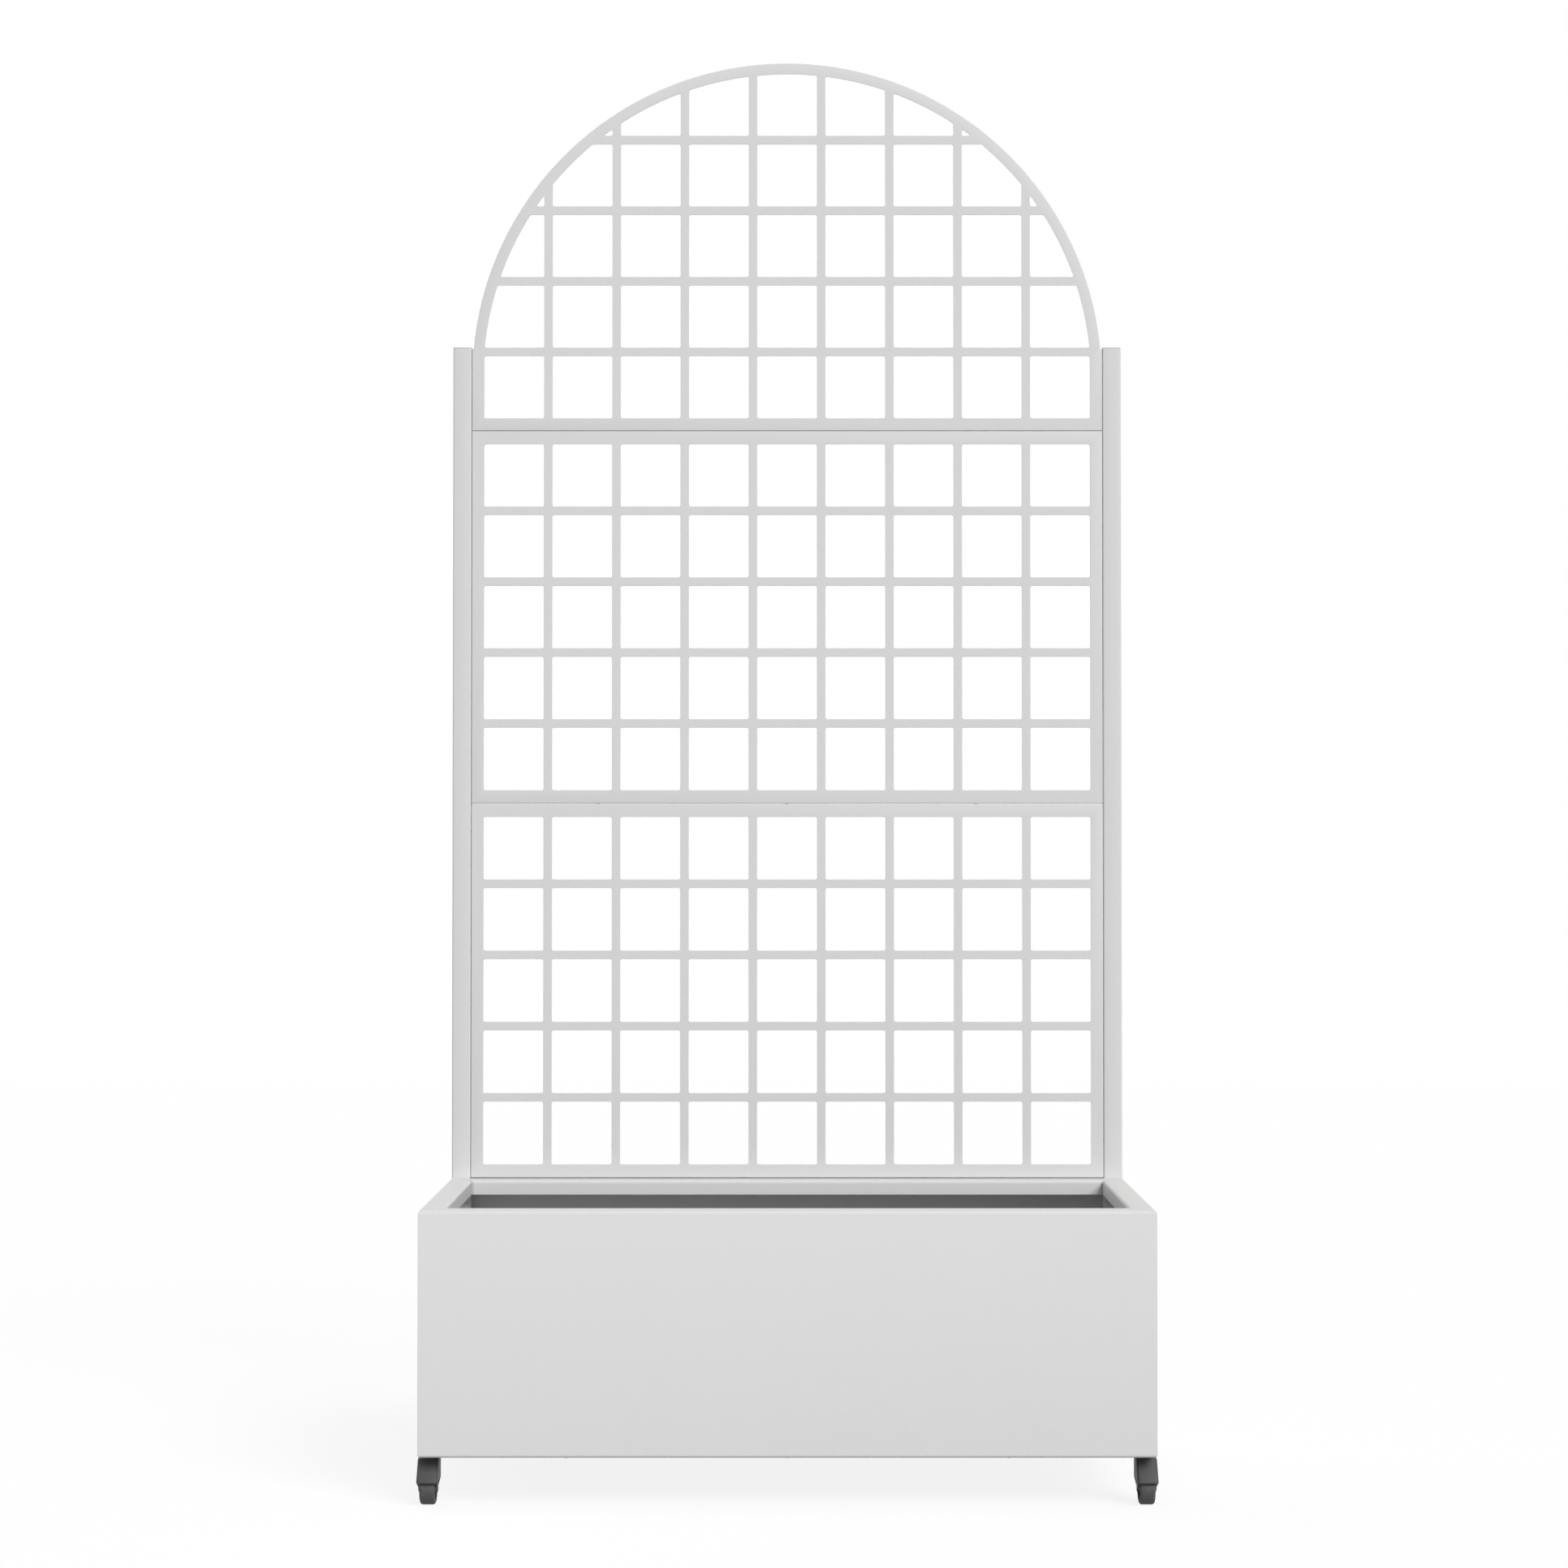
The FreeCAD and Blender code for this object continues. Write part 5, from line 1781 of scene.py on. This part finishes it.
    def spokes(self, name: str, along: Matrix, finish: bpy.types.Material) -> bpy.types.Object:
        """Stiffening ribs in the hub's recesses.

        Args:
            name: Name of the piece.
            along: Matrix of the wheel's axis.
            finish: Their material.

        Returns:
            The raw ribs.
        """
        half = self.wheel_width / 2 - self.hub_inset
        deep = half - self.hub_recess
        lip = self.wheel - self.tyre - self.fit_gap - self.hub_rim
        thick, lap = self.rib_half, self.slack
        rib = Piece("rib_template")
        rib.slab((self.hub_boss - lap, -thick, deep - lap), (lip + lap, thick, half - self.rib_sink))
        template = Workshop.soften(rib.build(), self.rib_edge, 1, 50.0)
        spots = []
        for side in Side:
            flip = Matrix.Rotation(math.pi if side is Side.LEFT else 0.0, 4, "X")
            for index in range(self.ribs):
                turn = along @ flip @ Matrix.Rotation(math.tau * index / self.ribs, 4, "Z")
                spots.append((turn.translation, Vector(turn.to_euler())))
        return self.hardware.repeater.lay(name, template, spots, finish)

    def tread(self, name: str, along: Matrix) -> bpy.types.Object:
        """Tyre with round shoulders.

        Args:
            name: Name of the piece.
            along: Matrix of the wheel's axis.

        Returns:
            The raw tyre.
        """
        half, bore = self.wheel_width / 2, self.wheel - self.tyre
        inner, flat = self.wheel - self.shoulder, half - self.shoulder
        outline = [(bore, -half)] + arc((inner, -flat), self.shoulder, -90.0, 0.0, 8)
        outline += arc((inner, flat), self.shoulder, 0.0, 90.0, 8) + [(bore, half)]
        piece = Piece(name)
        piece.lathe(outline, along, 96)
        return piece.build()

    def seats(self, zinc: bpy.types.Material) -> None:
        """Make and dress the plates and nuts inside the box.

        Args:
            zinc: Their finish.
        """
        box = self.trough
        wide, deep, thick = self.plate
        offset = box.post_out - (box.half_width - self.inset)
        plate = Piece("plate_template")
        plate.slab((offset - wide, -deep / 2, 0.0), (offset, deep / 2, thick))
        template = Workshop.soften(plate.build(), self.plate_edge, 2, 50.0)
        bore = Piece("plate_bore")
        hole = self.stem_radius + self.slack
        through = [(0.0, -thick), (hole, -thick), (hole, 2 * thick), (0.0, 2 * thick)]
        bore.lathe(through, Matrix.Identity(4), 24)
        Workshop.carve(template, [bore.build()])
        plates, nuts = [], []
        for row in Row:
            for side in Side:
                spot = self.stem_spot(row, side) + Vector((0.0, 0.0, box.floor_top))
                turn = Vector((0.0, 0.0, 0.0 if side is Side.RIGHT else math.pi))
                plates.append((spot, turn))
                nuts.append((spot + Vector((0.0, 0.0, thick)), turn))
        nut = self.hardware.nut(self.stem_nut[0], self.stem_nut[1], self.stem_radius)
        self.hardware.lay("caster_plates", "stem_plates", template, plates, zinc, Slot.ZINC)
        self.hardware.lay("caster_nuts", "stem_nuts", nut, nuts, zinc, Slot.ZINC)

    def build(self, plastic: bpy.types.Material, hub: bpy.types.Material, rubber: bpy.types.Material,
              steel: bpy.types.Material, zinc: bpy.types.Material) -> None:
        """Make and dress the four casters.

        Args:
            plastic: Finish of the forks.
            hub: Finish of the hubs.
            rubber: Finish of the tyres.
            steel: Finish of the stems, washers and axles.
            zinc: Finish of the plates and nuts.
        """
        self.seats(zinc)
        for row in Row:
            for side in Side:
                name = f"{row.value}_{side.word}"
                spot = self.stem_spot(row, side)
                along = Matrix.Translation(spot + Vector((0.0, -self.trail, self.wheel)))
                along = along @ Matrix.Rotation(math.pi / 2, 4, "Y")
                fork, wheel = f"{name}_fork", f"{name}_wheel"
                made = [
                    (self.stem(f"{name}_stem", spot), steel, Slot.STEEL, "planter", [f"{name}_caster_stem"]),
                    (self.ring(f"{name}_washer", spot), steel, Slot.STEEL, fork, [f"{name}_swivel_washer"]),
                    (self.fork(f"{name}_hood", spot), plastic, Slot.PLASTIC, fork, [f"{name}_caster_fork"]),
                    (self.spindle(f"{name}_axle", along), steel, Slot.STEEL, fork, [f"{name}_caster_axle"]),
                    (self.hub(f"{name}_hub", along), hub, Slot.HUB, wheel, [f"{name}_wheel_hub"]),
                    (self.spokes(f"{name}_hub_ribs", along, hub), hub, Slot.HUB, wheel, []),
                    (self.tread(f"{name}_tyre", along), rubber, Slot.TREAD, wheel, [f"{name}_wheel_tyre"]),
                ]
                for item, finish, slot, body, nodes in made:
                    Workshop.dress(item, finish, slot, body, nodes)


@dataclass(frozen=True)
class Lamp:
    """One far, soft light and where it shines from."""

    name: str
    energy: float
    spread: float
    origin: Colour

    def hang(self) -> None:
        """Add the light to the scene."""
        data = bpy.data.lights.new(self.name, "SUN")
        data.energy = self.energy
        data.angle = math.radians(self.spread)
        made = bpy.data.objects.new(self.name, data)
        made.rotation_euler = Vector(self.origin).to_track_quat("Z", "Y").to_euler()
        bpy.context.scene.collection.objects.link(made)


@dataclass
class Studio:
    """Camera, lights and white ground."""

    trough: Trough
    distance: float = 3.951
    aside: float = -0.004
    above_rim: float = 0.426
    tilt: float = 1.104
    lens: float = 76.9
    sky: float = 0.42
    key: Lamp = Lamp("key_light", 2.5, 30.0, (0.42, -0.56, 0.52))
    fill: Lamp = Lamp("fill_light", 0.75, 60.0, (-0.72, 0.62, 0.30))
    ground: float = 7.0
    paper: float = 0.99
    bounce: float = 0.38
    clean: float = 0.86

    def camera(self) -> None:
        """Camera at the photograph's place."""
        data = bpy.data.cameras.new("studio_camera")
        data.sensor_width = 36.0
        data.lens = self.lens
        data.clip_end = 60.0
        made = bpy.data.objects.new("studio_camera", data)
        box = self.trough
        made.location = (self.aside, box.front - self.distance, box.rim_height + self.above_rim)
        made.rotation_euler = (math.radians(90.0 + self.tilt), 0.0, 0.0)
        bpy.context.scene.collection.objects.link(made)
        bpy.context.scene.camera = made

    def lights(self) -> None:
        """Soft key light from the upper right and a weak fill from behind, in a white surround."""
        self.key.hang()
        self.fill.hang()
        world = bpy.data.worlds.new("white_surround")
        world.use_nodes = True
        tree = world.node_tree
        tree.nodes.clear()
        path = tree.nodes.new("ShaderNodeLightPath")
        seen = tree.nodes.new("ShaderNodeMath")
        seen.operation = "MAXIMUM"
        clear = tree.nodes.new("ShaderNodeMath")
        clear.operation = "MAXIMUM"
        tree.links.new(path.outputs["Is Camera Ray"], seen.inputs[0])
        tree.links.new(path.outputs["Is Glossy Ray"], seen.inputs[1])
        tree.links.new(seen.outputs[0], clear.inputs[0])
        tree.links.new(path.outputs["Is Transmission Ray"], clear.inputs[1])
        level = tree.nodes.new("ShaderNodeMapRange")
        level.inputs["To Min"].default_value = self.sky
        level.inputs["To Max"].default_value = 1.0
        tree.links.new(clear.outputs[0], level.inputs["Value"])
        back = tree.nodes.new("ShaderNodeBackground")
        back.inputs["Color"].default_value = (1.0, 1.0, 1.0, 1.0)
        tree.links.new(level.outputs[0], back.inputs["Strength"])
        out = tree.nodes.new("ShaderNodeOutputWorld")
        tree.links.new(back.outputs[0], out.inputs["Surface"])
        bpy.context.scene.world = world

    @staticmethod
    def clear_sight(graph: Graph) -> Wire:
        """Share of rays that see the background itself: direct, mirrored or through glass.

        Args:
            graph: The node tree to add to.

        Returns:
            1 on such rays and 0 on the rest.
        """
        seen: Any = 0.0
        for word in ("Is Camera Ray", "Is Glossy Ray", "Is Transmission Ray"):
            ray = graph.node("ShaderNodeLightPath", {}, {}, word)
            seen = graph.node("ShaderNodeMath", {"operation": "MAXIMUM"}, {0: ray, 1: seen})
        return seen

    def floor(self) -> None:
        """White ground that keeps the object's shadow."""
        piece = Piece("studio_floor")
        size = self.ground
        corners = ((-size, -size), (size, -size), (size, size), (-size, size))
        piece.face([piece.mesh.verts.new((x, y, 0.0)) for x, y in corners])
        made = piece.build()
        graph = Graph("white_ground")
        path = self.clear_sight(graph)
        tint = graph.mix(path, (self.bounce,) * 3, (self.paper,) * 3)
        paper = graph.node("ShaderNodeBsdfDiffuse", {}, {"Color": tint})
        glow = graph.node("ShaderNodeEmission", {}, {"Color": (1.0, 1.0, 1.0, 1.0), "Strength": 1.0})
        both = graph.node("ShaderNodeMixShader", {}, {0: path * self.clean, 1: paper, 2: glow})
        graph.tree.links.new(both.socket, graph.output.inputs["Surface"])
        made.data.materials.append(graph.material)

    def build(self) -> None:
        """Set up the whole studio."""
        self.camera()
        self.lights()
        self.floor()
        bpy.context.scene.view_settings.view_transform = "Standard"


def main() -> None:
    """Build every sub-assembly in order."""
    logging.basicConfig(level=logging.INFO, format="%(message)s")
    trough = Trough()
    trellis = Trellis(trough)
    posts = Posts(trough, trellis.post_top)
    # Painted shade: the trellis, posts and screw heads take a darker copy of the box's coat.
    coat = PowderCoat("trellis_powder_coat", (0.705, 0.705, 0.705), (0.64, 0.636, 0.628)).make()
    # Painted shade: the box's coat is darkened on its rim, lips and inside by its zones.
    shaded_box_coat = PowderCoat("primed_box_coat", zones=trough.zones()).make()
    cap = MouldedPlastic("off_white_cap_plastic", (0.60, 0.60, 0.60), (0.52, 0.52, 0.51)).make()
    trough.build(shaded_box_coat)
    posts.build(coat, cap)
    trellis.build(coat)
    hardware = Hardware(trough, trellis, Repeater())
    zinc = ZincPlate().make()
    hardware.build(coat, zinc)
    plastic = MouldedPlastic("black_fork_plastic", (0.062, 0.062, 0.063), (0.095, 0.095, 0.095)).make()
    hub = MouldedPlastic("black_hub_plastic", (0.052, 0.052, 0.053), (0.082, 0.082, 0.082), 0.42).make()
    steel = ZincPlate("turned_steel", (0.52, 0.53, 0.55), (0.38, 0.39, 0.41), 0.26).make()
    Casters(trough, hardware).build(plastic, hub, TreadRubber().make(), steel, zinc)
    Studio(trough).build()


if __name__ == "__main__":
    main()
